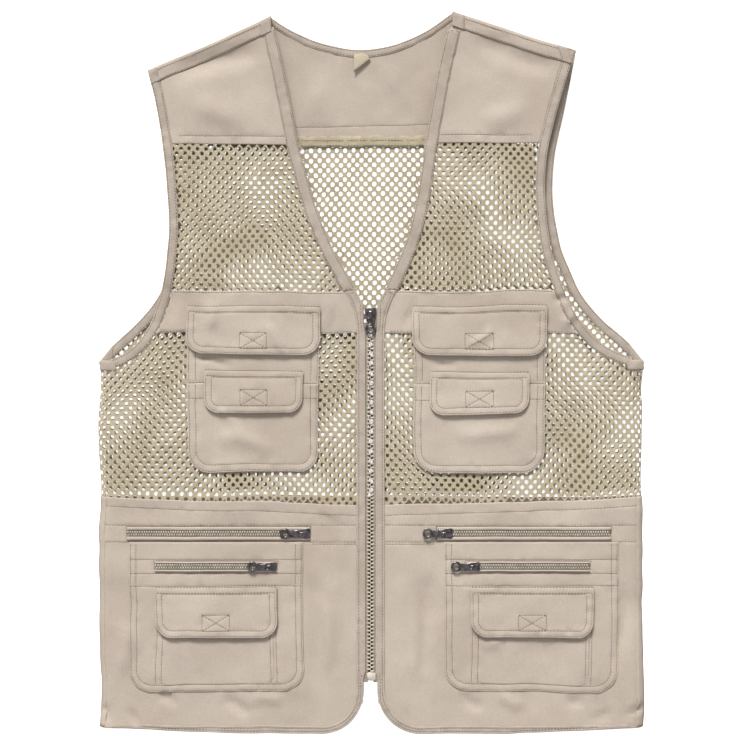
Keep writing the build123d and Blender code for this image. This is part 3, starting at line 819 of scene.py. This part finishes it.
def build_side(name, side):
    """The welted seam where the front meets the back."""
    y = np.linspace(HEM_Y + 0.5, LOWER_Y - 0.5, 90)
    across = np.array([-1.0, -0.7, 0, 1.6, 3.2, 5.0, 7.0])
    raised = np.array([0.1, 0.55, 0.75, 0.75, 0.7, 0.6, 0.5])
    middle = SEAM_IN + SIDE_RADIUS * 0.55
    sway = 0.5 * value_noise(y, 0 * y, 24, 6)
    mid = np.stack([around(side, middle + a + sway, y, r + 0.12 * value_noise(y, 0 * y + a, 6, 3))
                    for a, r in zip(across, raised)], 1)
    piece = grid_cloth(f"{name}_side_welt", mid if side > 0 else mid[:, ::-1], 0.8, WOVEN)
    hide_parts(f"{name}_side_seam")
    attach(piece, "vest")


FRONT_HOLES = dict(stretch=(1.0, 1.02), hole=0.78)
FRONT_NET = {
    "right": dict(lean=0.035, phase=(1.3, 2.1), seed=21, **FRONT_HOLES),
    "left": dict(lean=-0.035, phase=(2.7, 0.4), seed=31, **FRONT_HOLES),
}


# ---------------------------------------------------------------- shoulders and armholes

def underarm_tip(name, side, loop):
    """The back binding's last piece, from where it leaves the table up to the corner under the arm."""
    far = np.abs(loop[:, 0]).max()
    end = loop[np.abs(loop[:, 0]) > far - 0.5]
    top, low = end[np.argmax(end[:, 1])], end[np.argmin(end[:, 1])]
    corner_top = np.array((side * (SEAM_OUT + 0.3), SEAM_TOP + 7.2))
    corner_low = np.array((side * (SEAM_OUT - 1.5), SEAM_TOP + 0.4))
    mid = []
    for t in np.linspace(-0.12, 1, 12):
        upper, under = top + t * (corner_top - top), low + t * (corner_low - low)
        rise = 2.0 + 2.6 * max(t, 0)
        mid.append([(*(upper + u * (under - upper)), rise + 0.5 * np.sin(u * pi))
                    for u in np.linspace(0, 1, 6)])
    mid = np.array(mid)
    piece = grid_cloth(f"{name}_underarm_tip", mid[:, ::-1] if side > 0 else mid, 1.0, BINDING)
    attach(piece, "vest")


def underarm_band(name, side):
    """The binding's turn round the side at the underarm."""
    s = np.linspace(SEAM_IN - 5, SIDE_END, 26)
    y = np.linspace(SEAM_TOP - 0.6, SEAM_TOP + 9.0, 9)
    grid_s, grid_y = (a.ravel() for a in np.meshgrid(s, y))
    part = np.clip((grid_y - y[0]) / (y[-1] - y[0]), 0, 1)
    crown = 0.75 * np.sin(part * pi) ** 0.6 + 0.35 * value_noise(grid_s, grid_y, 4.5, 12)
    points = around(side, grid_s, grid_y, crown).reshape(len(y), len(s), 3)
    piece = grid_cloth(f"{name}_underarm", points if side > 0 else points[:, ::-1], 1.2, BINDING)
    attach(piece, "vest")


def build_shoulders(name, side):
    sewing = f"{name}_yoke_stitches"
    yoke = flat_cloth(f"{name}_shoulder_yoke", grid=4.5, stitches=sewing, rows=(8.0,),
                      keep=lambda x, y: y < YOKE_Y + 9.5)
    ride_front(yoke)

    loops = outline_of(f"{name}_upper_mesh", FRONT_LOW, False)
    low, high = node_box(f"{name}_upper_mesh")
    meshes = net(f"{name}_upper_net", lambda x, y: inside(np.stack([x, y], 1), loops), net_place,
                 (low[:2], high[:2]), **FRONT_NET[name])
    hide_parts(f"{name}_upper_mesh")
    ride_front(meshes)

    band = flat_cloth(f"{name}_neck_band", thick=1.0, rows=(1.2,), grid=3.0, material=BINDING,
                      stitches=sewing)
    ride_front(band)

    # front half of the armhole binding, then the back half
    arm = f"{name}_armhole_binding"
    front_loops = outline_of(arm, FRONT_LOW, False)
    front = panel(f"{name}_armhole_front", front_loops[:1], FRONT_TOP + 0.7, 1.7, stitches=sewing, **BOUND)
    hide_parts(arm)
    ride_front(front)
    back_low = node_box("back_yoke")[0][2] + CLOTH
    back_loops = outline_of(arm, back_low, False)
    rear = panel(f"{name}_armhole_back", back_loops[:1], back_low + 1.0, 1.0, base=back_relief,
                 stitches="vest_stitches", **BOUND)
    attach(rear, "vest")
    underarm_band(name, side)
    underarm_tip(name, side, back_loops[0])
    build_shoulder_fold(name, side)


NECK_TAPE, ARM_TAPE = 11.5, 9.5  # widths of the bindings that turn over the shoulder


def fold_profile(depth):
    """The strip from its lower edge on the front, over the fold and down the back, as (down, height)."""
    flat = [(depth * part, FRONT_TOP + 0.25) for part in (1, 0.94, 0.85, 0.7, 0.55, 0.4, 0.28, 0.2)]
    half = (FRONT_TOP + 0.2) / 2
    bend = [(1.4 - 2.0 * np.sin(a) ** 0.8, half + half * np.cos(a)) for a in np.linspace(0, pi, 13)]
    return flat + bend + [(3.0, 0.9), (6.0, 0.9)]


def build_shoulder_fold(name, side):
    """The back cloth comes over the shoulder and ends in a strip on the front."""
    strips = outline_of("back_yoke", FRONT_TOP, True)
    mine = [p for p in strips if p[:, 0].mean() * side > 0][0]
    inner = mine[np.argmax(mine[:, 1])]
    outer = mine[np.argmax(mine[:, 0] * side)]
    length = np.linalg.norm(outer - inner)
    along = (outer - inner) / length
    drop = np.array((along[1], -along[0])) * side
    deep = (mine - inner) @ drop
    depth = deep.max()
    lower = mine[deep > 0.6 * depth]
    inner_slant = ((lower - inner) @ along).min() / depth
    arm = outline_of(f"{name}_armhole_binding", FRONT_LOW, False)[0]
    level = arm[np.abs((arm - inner) @ drop - depth) < 4]
    outer_slant = (((level - inner) @ along).max() - length) / depth
    profile = fold_profile(depth)

    def lay(label, start, end, add, thick, material, pucker):
        """start and end are distances from the neck end, or from the arm end where negative."""
        mid = []
        for n, (down, z) in enumerate(profile):
            below = max(down, 0)
            neck, arm_end = inner_slant * below, length + outer_slant * below
            first, last = (v + (neck if v >= 0 else arm_end) for v in (start, end))
            count = len(mid[0]) if mid else max(6, int(abs(last - first) / 2.2))
            run = np.linspace(first, last, count)
            flat = inner + run[:, None] * along + down * drop
            wobble = pucker * value_noise(run, 0 * run + 2.3 * n, 6, 14) * (z > 2)
            lift = np.clip(z / FRONT_TOP, 0, 1) ** 3 * relief(flat[:, 0], flat[:, 1])
            height = z + lift + wobble + add * (1 if z > FRONT_LOW / 2 else 0.2)
            mid.append(np.column_stack([flat, height]))
        mid = np.stack(mid, 1)
        return grid_cloth(label, mid[:, ::-1] if side > 0 else mid, thick, material)

    pieces = [
        lay(f"{name}_shoulder_strip", 0.0, -0.001, 0.0, 1.1, WOVEN, 0.25),
        lay(f"{name}_neck_turn", 0.0, NECK_TAPE, 1.0, 0.9, BINDING, 0.4),
        lay(f"{name}_arm_turn", -ARM_TAPE, -0.001, 0.7, 0.9, BINDING, 0.4),
    ]
    for piece in pieces:
        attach(piece, "vest")
    for down in (3.0, depth - 1.2):
        row = np.stack([inner + (NECK_TAPE + inner_slant * down) * along + down * drop,
                        inner + (length - ARM_TAPE + outer_slant * down) * along + down * drop])
        sew("vest_stitches", [resampled(row, 3, closed=False)], lambda x, y: FRONT_TOP + 0.85 + relief(x, y))


# ---------------------------------------------------------------- fronts

def build_front(name, side):
    body = f"{name}_front"
    sewing = f"{name}_front_stitches"

    flat_cloth(f"{name}_chest_band", body, grid=4.5, rows=(1.6,), stitches=sewing,
               keep=lambda x, y: (np.abs(x) < 205) & (np.abs(x) > 18) & ((y > SPLIT_Y - 3) | (y < 43)))

    loops = outline_of(f"{name}_lower_mesh", FRONT_LOW, False)
    low, high = node_box(f"{name}_lower_mesh")

    reach = np.array((side * SIDE_END, high[1]))
    extent = (np.minimum(low[:2], reach), np.maximum(high[:2], reach))

    def wanted(x, y):
        beyond = (x * side > SWING_X - JUST_IN) & (x * side < SIDE_END)
        return inside(np.stack([x, y], 1), loops) | beyond & (y > LOWER_Y - 2) & (y < SEAM_TOP + 3)

    meshes = net(f"{name}_lower_net", wanted, net_place, extent, **FRONT_NET[name])
    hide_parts(f"{name}_lower_mesh")
    swing_side(meshes)

    # lower panel, with the bands sewn across it
    seam = [straight(side * 12, -136.5, side * 256, -127.5)]
    zip_low, zip_high = node_box(f"{name}_long_zip")
    near = min(abs(zip_low[0]), abs(zip_high[0]))
    for y in (zip_high[1] + 1.6, zip_low[1] - 1.6):
        seam.append(straight(side * 14, y, side * 256, y))
    seam.append(straight(side * 14, zip_low[1] - 3.8, side * (near - 2), zip_low[1] - 3.8))
    lower = flat_cloth(f"{name}_lower_panel", grid=4.5, lines=seam, stitches=sewing, reshape=to_side,
                       bend=round_side)
    swing_side(lower)

    flat_cloth(f"{name}_placket", body, thick=0.8, rows=(2.2,), grid=3.0, material=BINDING, stitches=sewing,
               add=0.25, reshape=to_zip, keep=lambda x, y: np.abs(x) > SLIDER_EDGE + 0.6)

    build_chest(name, body, sewing)
    build_cargo(name, body, sewing)

    flat_cloth(f"{name}_zip_tape", body, thick=0.6, grid=3.0, material=ZIP_TAPE, edge_drop=0.3, pucker=0.05)


def u_line(low, high, far, radius, top):
    """A line down one side, round the bottom and up the other, a distance inside a pocket."""
    r = max(radius - far, 2.0)
    turn = np.linspace(0, pi / 2, 9)
    x0, x1, y0 = low[0] + far, high[0] - far, low[1] + far
    left = [(x0, top)] + [(x0 + r - r * np.cos(a), y0 + r - r * np.sin(a)) for a in turn]
    right = [(x1 - r + r * np.sin(a), y0 + r - r * np.cos(a)) for a in turn] + [(x1, top)]
    return np.array(left + right)


CHEST_ROUND, CARGO_ROUND = 21.0, 23.0  # corner radii of the pockets
CARGO_SEAM = -204.5  # height of the row of stitches above the cargo flap


def build_flap(node, patch):
    """A pocket flap with its stitches. patch is the height of the sewn box that holds its hook patch."""
    sewing = f"{node}_stitches"
    low, high = node_box(node)
    width, height = high[0] - low[0], high[1] - low[1]
    middle = (low[0] + high[0]) / 2
    top_line = straight(low[0] + 2, high[1] - 6.2, high[0] - 2, high[1] - 6.2)
    # A row of stitches just under the flap's top edge; its dark thread draws the gap at that edge as a
    # painted shadow line.
    edge_row_painted_shadow = straight(low[0] + 0.5, high[1] - 0.6, high[0] - 0.5, high[1] - 0.6)

    def lift(x, y):
        down = np.clip((high[1] - y) / height, 0, 1)
        side_drop = np.abs(x - middle) / (width / 2)
        return 2.0 * down ** 2 - 0.9 * side_drop ** 4 * down + 0.35 * np.sin(down * pi)

    flat_cloth(node, node, up=True, grid=3.6, rows=(1.8, 7.0), shape=lift, stitches=sewing,
               lines=[edge_row_painted_shadow, top_line] + cross_box(middle, patch, 27, 15.5),
               keep=lambda x, y: y < high[1] - 6.4)
    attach(stitch_piece(sewing), node)


def build_chest(name, body, sewing):
    low, high = node_box(f"{name}_chest_pocket")
    pouch_low, pouch_high = node_box(f"{name}_chest_pouch")
    rows = [straight(x, high[1] - 2, x, pouch_high[1] + 3)
            for far in (1.8, 8.0) for x in (low[0] + far, high[0] - far)]
    # A groove with a row of stitches just above the pouch's top edge; its dark thread is a painted shadow
    # line for the gap there.
    rows.append(straight(low[0] + 1, pouch_high[1] + 0.7, high[0] - 1, pouch_high[1] + 0.7))
    flat_cloth(f"{name}_chest_pocket", body, grid=4.2, lines=rows, stitches=sewing)
    hem = straight(pouch_low[0] + 1, pouch_high[1] - 14.6, pouch_high[0] - 1, pouch_high[1] - 14.6)
    rows = [u_line(pouch_low, pouch_high, far, CHEST_ROUND, pouch_high[1] - 1) for far in (1.8, 7.6)]
    flat_cloth(f"{name}_chest_pouch", body, grid=3.8, stitches=sewing, thick=1.0, lines=[hem] + rows)
    build_flap(f"{name}_chest_flap", 32.0)
    build_flap(f"{name}_pouch_flap", -23.5)


def build_cargo(name, body, sewing):
    low, high = node_box(f"{name}_cargo_pocket")
    zip_low, zip_high = node_box(f"{name}_short_zip")
    pouch_low, pouch_high = node_box(f"{name}_cargo_pouch")
    seam = [straight(low[0] + 1, y, high[0] - 1, y)
            for y in (zip_high[1] + 1.7, zip_low[1] - 1.7, CARGO_SEAM)]
    seam += [u_line(low, high, far, CARGO_ROUND, high[1] - 2) for far in (1.6, 7.0)]
    for x in (pouch_low[0] - 2.5, pouch_high[0] + 2.5):
        seam.append(straight(x, pouch_high[1] - 4, x, low[1] + 8))
    flat_cloth(f"{name}_cargo_pocket", body, grid=4.2, stitches=sewing, lines=seam)
    sides = [straight(x, pouch_high[1] - 1, x, pouch_low[1] + 1)
             for x in (pouch_low[0] + 3.2, pouch_high[0] - 3.2)]

    def settle(x, y):
        return -0.72 * np.clip(1 - (y - pouch_low[1]) / 40, 0, 1)

    flat_cloth(f"{name}_cargo_pouch", body, grid=3.8, stitches=sewing, thick=0.9, lines=sides, shape=settle)
    build_flap(f"{name}_cargo_flap", -240.0)


# ---------------------------------------------------------------- main zip

TOOTH_PITCH = 3.7


def build_teeth(name, side, body):
    low, high = node_box(f"{name}_zip_teeth")
    middle = (low[2] + high[2]) / 2
    under = [(3.1, -0.85), (2.3, -1.0), (1.5, -0.62), (0.9, -0.62), (0.35, -1.0), (-0.1, -0.75)]
    outline = np.array(under + [(-0.25, 0)] + [(x, -y) for x, y in under[::-1]])
    centre = np.array([1.3, 0])
    heap = Heap()
    start = node_box("zip_box")[1][1] + 1.6
    count = int((high[1] - start - 0.6) / TOOTH_PITCH)
    for n in range(count + 1):
        y = start + n * TOOTH_PITCH + (TOOTH_PITCH / 2 if side < 0 else 0)
        rings = []
        for z, grow in ((-1.05, 0.8), (-0.7, 1.0), (0.7, 1.0), (1.0, 0.86), (1.08, 0.55)):
            ring = (outline - centre) * grow + centre
            rings.append(np.column_stack([side * ring[:, 0], y + ring[:, 1], np.full(len(ring), middle + z)]))
        heap.add(np.concatenate(rings), ring_faces(5, len(outline)))
    piece = heap.make(f"{name}_teeth", TEETH)
    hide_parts(f"{name}_zip_teeth")
    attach(piece, body)
    cord = Heap()
    y = np.linspace(start - 2, high[1], 90)
    turn = np.arange(8) * pi / 4
    cord_x, cord_z = side * (2.75 + 0.62 * np.cos(turn)), middle - 0.15 + 0.62 * np.sin(turn)
    rings = [np.column_stack([cord_x, np.full(8, v), cord_z]) for v in y]
    cord.add(np.concatenate(rings), ring_faces(len(y), 8))
    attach(cord.make(f"{name}_zip_cord", ZIP_TAPE), body)


def rounded_plate(heap, outline, z0, z1, soft, axes=np.eye(3), origin=(0, 0, 0)):
    """A plate with softened rims. outline is (along, across); axes are the pull, side and up directions."""
    outline = np.asarray(outline, float)
    if area_of(outline) < 0:
        outline = outline[::-1]
    inward = normals_in(outline)
    rings = []
    for z, shrink in ((z0, soft), (z0 + soft * 0.3, soft * 0.3), (z0 + soft, 0), (z1 - soft, 0),
                      (z1 - soft * 0.3, soft * 0.3), (z1, soft)):
        flat = outline + inward * shrink
        rings.append(origin + np.column_stack([flat, np.full(len(flat), z)]) @ axes)
    heap.add(np.concatenate(rings), ring_faces(len(rings), len(outline)))


def rectangle(x0, y0, x1, y1):
    return [(x0, y0), (x1, y0), (x1, y1), (x0, y1)]


def smooth_outline(points, steps=5):
    """A closed smooth outline through some points."""
    p = np.asarray(points, float)
    out = []
    for k in range(len(p)):
        a, b, c, d = (p[(k + n) % len(p)] for n in (-1, 0, 1, 2))
        for t in np.arange(steps) / steps:
            out.append(0.5 * (2 * b + (c - a) * t + (2 * a - 5 * b + 4 * c - d) * t ** 2
                              + (3 * b - a - 3 * c + d) * t ** 3))
    return np.array(out)


def tube(heap, line, radius, sides=8):
    line = np.asarray(line, float)
    way = np.gradient(line, axis=0)
    way /= np.linalg.norm(way, axis=1)[:, None]
    side = np.cross(way, (0.3, 0.2, 1.0))
    side /= np.linalg.norm(side, axis=1)[:, None]
    up = np.cross(side, way)
    turn = np.arange(sides) * 2 * pi / sides
    cos, sin = np.cos(turn)[:, None], np.sin(turn)[:, None]
    rings = [p + radius * (cos * s + sin * u) for p, s, u in zip(line, side, up)]
    heap.add(np.concatenate(rings), ring_faces(len(line), sides))


def build_slider(node, pull_node, pull):
    """A cast slider with a bridge, and its puller with a ring end."""
    low, high = node_box(node)
    pull_low, pull_high = node_box(pull_node)
    axes = np.array([pull, np.cross((0, 0, 1.0), pull), (0, 0, 1.0)])
    along = abs(pull[1]) > 0.5
    length = (high[1] - low[1]) if along else (high[0] - low[0])
    width = (high[0] - low[0]) if along else (high[1] - low[1])
    origin = np.array([(low[0] + high[0]) / 2, (low[1] + high[1]) / 2, 0])
    pin_z = (pull_low[2] + pull_high[2]) / 2
    plate_top = pin_z - 1.1
    a, b = length / 2, width / 2
    half_line = [(-a, 0.72), (-a * 0.7, 1.0), (-a * 0.1, 0.93), (a * 0.6, 0.78), (a, 0.6)]
    body_line = smooth_outline([(u, -b * v) for u, v in half_line] + [(u, b * v) for u, v in half_line[::-1]])
    body_line[:, 0] = np.clip(body_line[:, 0], -a, a)
    heap = Heap()
    rounded_plate(heap, body_line, plate_top - 0.75, plate_top + 0.1, 0.3, axes, origin)
    rounded_plate(heap, body_line, low[2], low[2] + 0.55, 0.2, axes, origin)
    wedge = rectangle(-a * 0.9, -0.33, -a * 0.3, 0.33)
    rounded_plate(heap, wedge, low[2] + 0.3, plate_top - 0.5, 0.05, axes, origin)

    # the bridge, a flat bar bent into an arch along the pull direction
    t = np.linspace(0, pi, 15)
    arch = np.stack([-4.6 * np.cos(t), 0 * t, plate_top - 0.1 + 2.15 * np.sin(t) ** 0.8], 1)
    bar = smooth_outline([(-1.25, -0.3), (0, -0.38), (1.25, -0.3), (1.25, 0.3), (0, 0.42), (-1.25, 0.3)], 3)
    way = np.gradient(arch, axis=0)
    way /= np.linalg.norm(way, axis=1)[:, None]
    sideways = np.array((0, 1.0, 0))
    rings = []
    for p, up in zip(arch, -np.cross(way, sideways)):
        rings.append(origin + (p + bar[:, :1] * sideways + bar[:, 1:] * up) @ axes)
    heap.add(np.concatenate(rings), ring_faces(len(rings), len(bar)))
    piece = heap.make(f"{node}_cast", GUNMETAL_PAINTED_GLINTS)
    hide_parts(node)
    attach(piece, node)

    # puller: tab with a ring end, hung on the bridge by a loop
    heap = Heap()
    half_width = (pull_high[0] - pull_low[0]) / 2 if along else (pull_high[1] - pull_low[1]) / 2
    reach = max(pull_high[1] - pull_low[1], pull_high[0] - pull_low[0]) - 0.7
    ring_x = reach - half_width
    start = np.array([*origin[:2], pin_z])
    n = 28
    turn = np.arange(n) * 2 * pi / n
    hole = half_width * 0.52
    soft, level = np.array((-0.45, 0, 0, -0.45)), np.array((-0.8, -0.4, 0.4, 0.8))
    section = list(zip(level, half_width + soft)) + list(zip(level[::-1], hole - soft))
    rings = [np.column_stack([ring_x + r * np.cos(turn), r * np.sin(turn), np.full(n, z)])
             for z, r in section]
    rings.append(rings[0])
    heap.add(start + np.concatenate(rings) @ axes, ring_faces(len(rings), n, False))
    root, neck = ring_x - hole * 1.05, (2.6 + ring_x - hole) / 2
    edge = [(2.6, -2.6), (4.2, -3.2), (neck, -2.9), (root - 1.2, -3.3), (root, -2.2)]
    tab = smooth_outline(edge + [(x, -y) for x, y in edge[::-1]])
    rounded_plate(heap, tab, -0.75, 0.75, 0.4, axes, start)
    t = np.linspace(-0.62 * pi, 0.62 * pi, 17)
    hook = np.stack([2.9 - 3.6 * np.cos(t), 2.45 * np.sin(t), 0 * t], 1)
    tube(heap, start + hook @ axes, 0.62)
    piece = heap.make(f"{pull_node}_cast", GUNMETAL_PAINTED_GLINTS)
    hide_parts(pull_node)
    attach(piece, pull_node)


COIL_PITCH = 2.3


def build_coil(name, side, kind, body):
    """A coil zip in its opening: two tapes, two ribbed rows and the folded edges of the cloth beside them."""
    node = f"{name}_{kind}_zip"
    low, high = node_box(node)
    middle = (low[1] + high[1]) / 2
    half = (high[1] - low[1]) / 2
    tape_z = high[2] - 0.9
    x = np.linspace(low[0], high[0], 60)
    heap = Heap()
    for way in (-1, 1):
        place = "low" if way < 0 else "high"

        def strip(label, across, heights, thick, material, wobble):
            mid = np.stack([np.stack([x, middle + way * a + wobble * value_noise(x, 0 * x, 23, 9),
                                      z + wobble * value_noise(x, 0 * x + a, 8, 3)], 1)
                            for a, z in zip(across, heights)], 1)
            mid = mid if way > 0 else mid[:, ::-1]
            piece = grid_cloth(f"{node}_{label}_{place}", mid, thick, material)
            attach(piece, body)
            return piece

        tape = strip("tape", (0.5, 1.2, 2.5, 4.0, half - 0.05), (tape_z,) * 5, 0.35, ZIP_TAPE, 0.0)
        if way > 0:
            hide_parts(node)
        lip = (3.4, 3.5, 3.9, half - 1.2, half - 0.1)
        rise = (tape_z + 0.4, high[2] + 0.2, high[2] + 0.5, high[2] + 0.45, high[2] + 0.1)
        strip("lip", lip, rise, 0.6, WOVEN, 0.25)
        count = int((high[0] - low[0] - 1) / COIL_PITCH)
        along = low[0] + 1.2 + np.arange(count) * COIL_PITCH + (0.5 * COIL_PITCH if way < 0 else 0)
        inner = np.stack([along + 0.2, np.full(count, middle - way * 0.1), np.full(count, tape_z + 0.9)], 1)
        outer = np.stack([along - 0.1, np.full(count, middle + way * 2.6), np.full(count, tape_z + 0.6)], 1)
        lay_capsules(heap, inner, outer, 0.82, 0.35)
    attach(heap.make(f"{node}_coil", COIL), body)


def build_stops():
    """The box at the foot of the left teeth, with its stem, and the pin at the foot of the right."""
    low, high = node_box("zip_box")
    box = Heap()
    rounded_plate(box, rectangle(0.1, low[1], high[0], high[1]), low[2] - 0.3, high[2] + 0.3, 0.35)
    stem = rectangle(-2.2, low[1] + 0.2, 0.3, high[1] - 1.4)
    rounded_plate(box, stem, low[2] - 0.2, high[2] + 0.15, 0.3)
    low, high = node_box("zip_pin")
    pin = Heap()
    rounded_plate(pin, rectangle(low[0] - 0.8, low[1], -2.3, high[1]), low[2] - 0.1, high[2] + 0.2, 0.3)
    for heap, node, body in ((box, "zip_box", "left_front"), (pin, "zip_pin", "right_front")):
        piece = heap.make(f"{node}_moulded", TEETH)
        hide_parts(node)
        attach(piece, body)


def build_hang_loop():
    """A flat tape folded over on the slant, its fold standing off the back."""
    low, high = node_box("hang_loop")
    base = low[2] + 0.3
    roots = np.array([(low[0] + 1.0, high[1] - 0.6, base + 0.4), (low[0] + 10.0, high[1] + 0.6, base + 0.4)])
    fold = np.array([(low[0] + 0.9, low[1] + 1.5, base + 3.6), (low[0] + 16.6, high[1] - 5.0, base + 2.4)])
    under = np.array([(low[0] + 6.0, high[1] - 1.5, base), (low[0] + 13.0, high[1] - 0.5, base)])
    profile = [(0, 0, 0.0), (0.25, 0, 0.4), (0.5, 0, 0.6), (0.75, 0, 0.5), (0.93, 0, 0.25), (1.0, 0, -0.35),
               (0.95, 0.05, -1.0), (0.7, 0.3, -0.5), (0.35, 0.65, -0.1), (0.0, 1.0, 0.0)]
    mid = []
    for to_fold, to_under, lift in profile:
        to_root = 1 - to_fold - to_under
        line = to_root * roots + to_fold * fold + to_under * under
        mid.append([line[0] + t * (line[1] - line[0]) + (0, 0, lift) for t in np.linspace(0, 1, 9)])
    piece = grid_cloth("hang_loop_tape", np.array(mid), 0.7, COTTON_TAPE)
    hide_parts("hang_loop")
    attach(piece, "hang_loop")


def build_patches(name):
    """The loop halves of the hook-and-loop patches: thin pads with a rough pile."""
    node = f"{name}_loop_patches"
    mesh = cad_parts[node].data
    levels = sorted({round(v.co.z / MM, 2) for v in mesh.vertices})

    def pile(x, y):
        return relief(x, y) + 0.16 * value_noise(x, y, 0.9, 51) + 0.1 * value_noise(x, y, 2.1, 52)

    pads = [(level, loop) for level in levels for loop in outline_of(node, level, True)]
    for n, (level, loop) in enumerate(pads, 1):
        piece = panel(f"{node}_pad_{n}", [loop], level + 0.25, 0.7, grid=0.9, base=pile, material=HOOKS)
        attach(piece, f"{name}_front")
        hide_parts(node)


# ---------------------------------------------------------------- stage

def sun_light(name, towards, softness, strength):
    """Parallel light from a direction, with a soft edge of the given angle."""
    light = bpy.data.lights.new(name, "SUN")
    light.angle = softness
    light.energy = strength
    lamp = bpy.data.objects.new(name, light)
    lamp.rotation_euler = Vector(towards).to_track_quat("Z", "Y").to_euler()
    bpy.context.scene.collection.objects.link(lamp)


def stage_plane(name, height, colour, glow):
    mesh = bpy.data.meshes.new(name)
    mesh.from_pydata([(-4, -4, 0), (4, -4, 0), (4, 4, 0), (-4, 4, 0)], [], [(0, 1, 2, 3)])
    plane = bpy.data.objects.new(name, mesh)
    plane.location = (0, 0, height)
    bpy.context.scene.collection.objects.link(plane)
    material, _, shader = new_material(name, 0.9)
    shader.inputs["Base Color"].default_value = (*colour, 1)
    shader.inputs["Emission Color"].default_value = (1, 1, 1, 1)
    shader.inputs["Emission Strength"].default_value = glow
    shader.inputs["Specular IOR Level"].default_value = 0.1
    mesh.materials.append(material)
    return plane


PICTURE_WIDTH = 0.723
LENS, SENSOR = 100, 36
CAMERA_AWAY = PICTURE_WIDTH * LENS / SENSOR + 0.012
CAMERA_X, CAMERA_Y = 0.0043, -0.001


def build_stage():
    # The pale floor is what the camera sees; the darker plane under it is what throws light back up.
    floor = stage_plane("floor", -0.0006, (0.9, 0.9, 0.9), 0.9)
    for ray in ("diffuse", "glossy", "transmission", "shadow"):
        setattr(floor, f"visible_{ray}", False)
    bounce = stage_plane("bounce", -0.0026, (0.46, 0.40, 0.33), 0.0)
    bounce.visible_camera = False

    world = bpy.data.worlds.new("studio")
    world.use_nodes = True
    sky = world.node_tree.nodes["Background"]
    sky.inputs["Color"].default_value = (0.97, 0.98, 1.0, 1)
    sky.inputs["Strength"].default_value = 0.46
    bpy.context.scene.world = world
    sun_light("key", (-0.22, 1.0, 0.75), 0.34, 3.45)
    bpy.context.scene.view_settings.view_transform = "Standard"

    camera = bpy.data.cameras.new("camera")
    camera.lens = LENS
    view = bpy.data.objects.new("camera", camera)
    view.location = (CAMERA_X, CAMERA_Y, CAMERA_AWAY)
    bpy.context.scene.collection.objects.link(view)
    bpy.context.scene.camera = view


build_stage()
build_back()
build_hang_loop()
for name, side in SIDES.items():
    build_side(name, side)
    build_shoulders(name, side)
    build_front(name, side)
    build_teeth(name, side, f"{name}_front")
    for kind in ("long", "short"):
        build_coil(name, side, kind, f"{name}_front")
        build_slider(f"{name}_{kind}_slider", f"{name}_{kind}_puller", np.array((-1.0, 0, 0)))
    ride_front(stitch_piece(f"{name}_yoke_stitches"))
    swing_side(stitch_piece(f"{name}_front_stitches"))
    build_patches(name)
build_slider("main_slider", "main_puller", np.array((0, -1.0, 0)))
build_stops()
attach(stitch_piece("vest_stitches"), "vest")
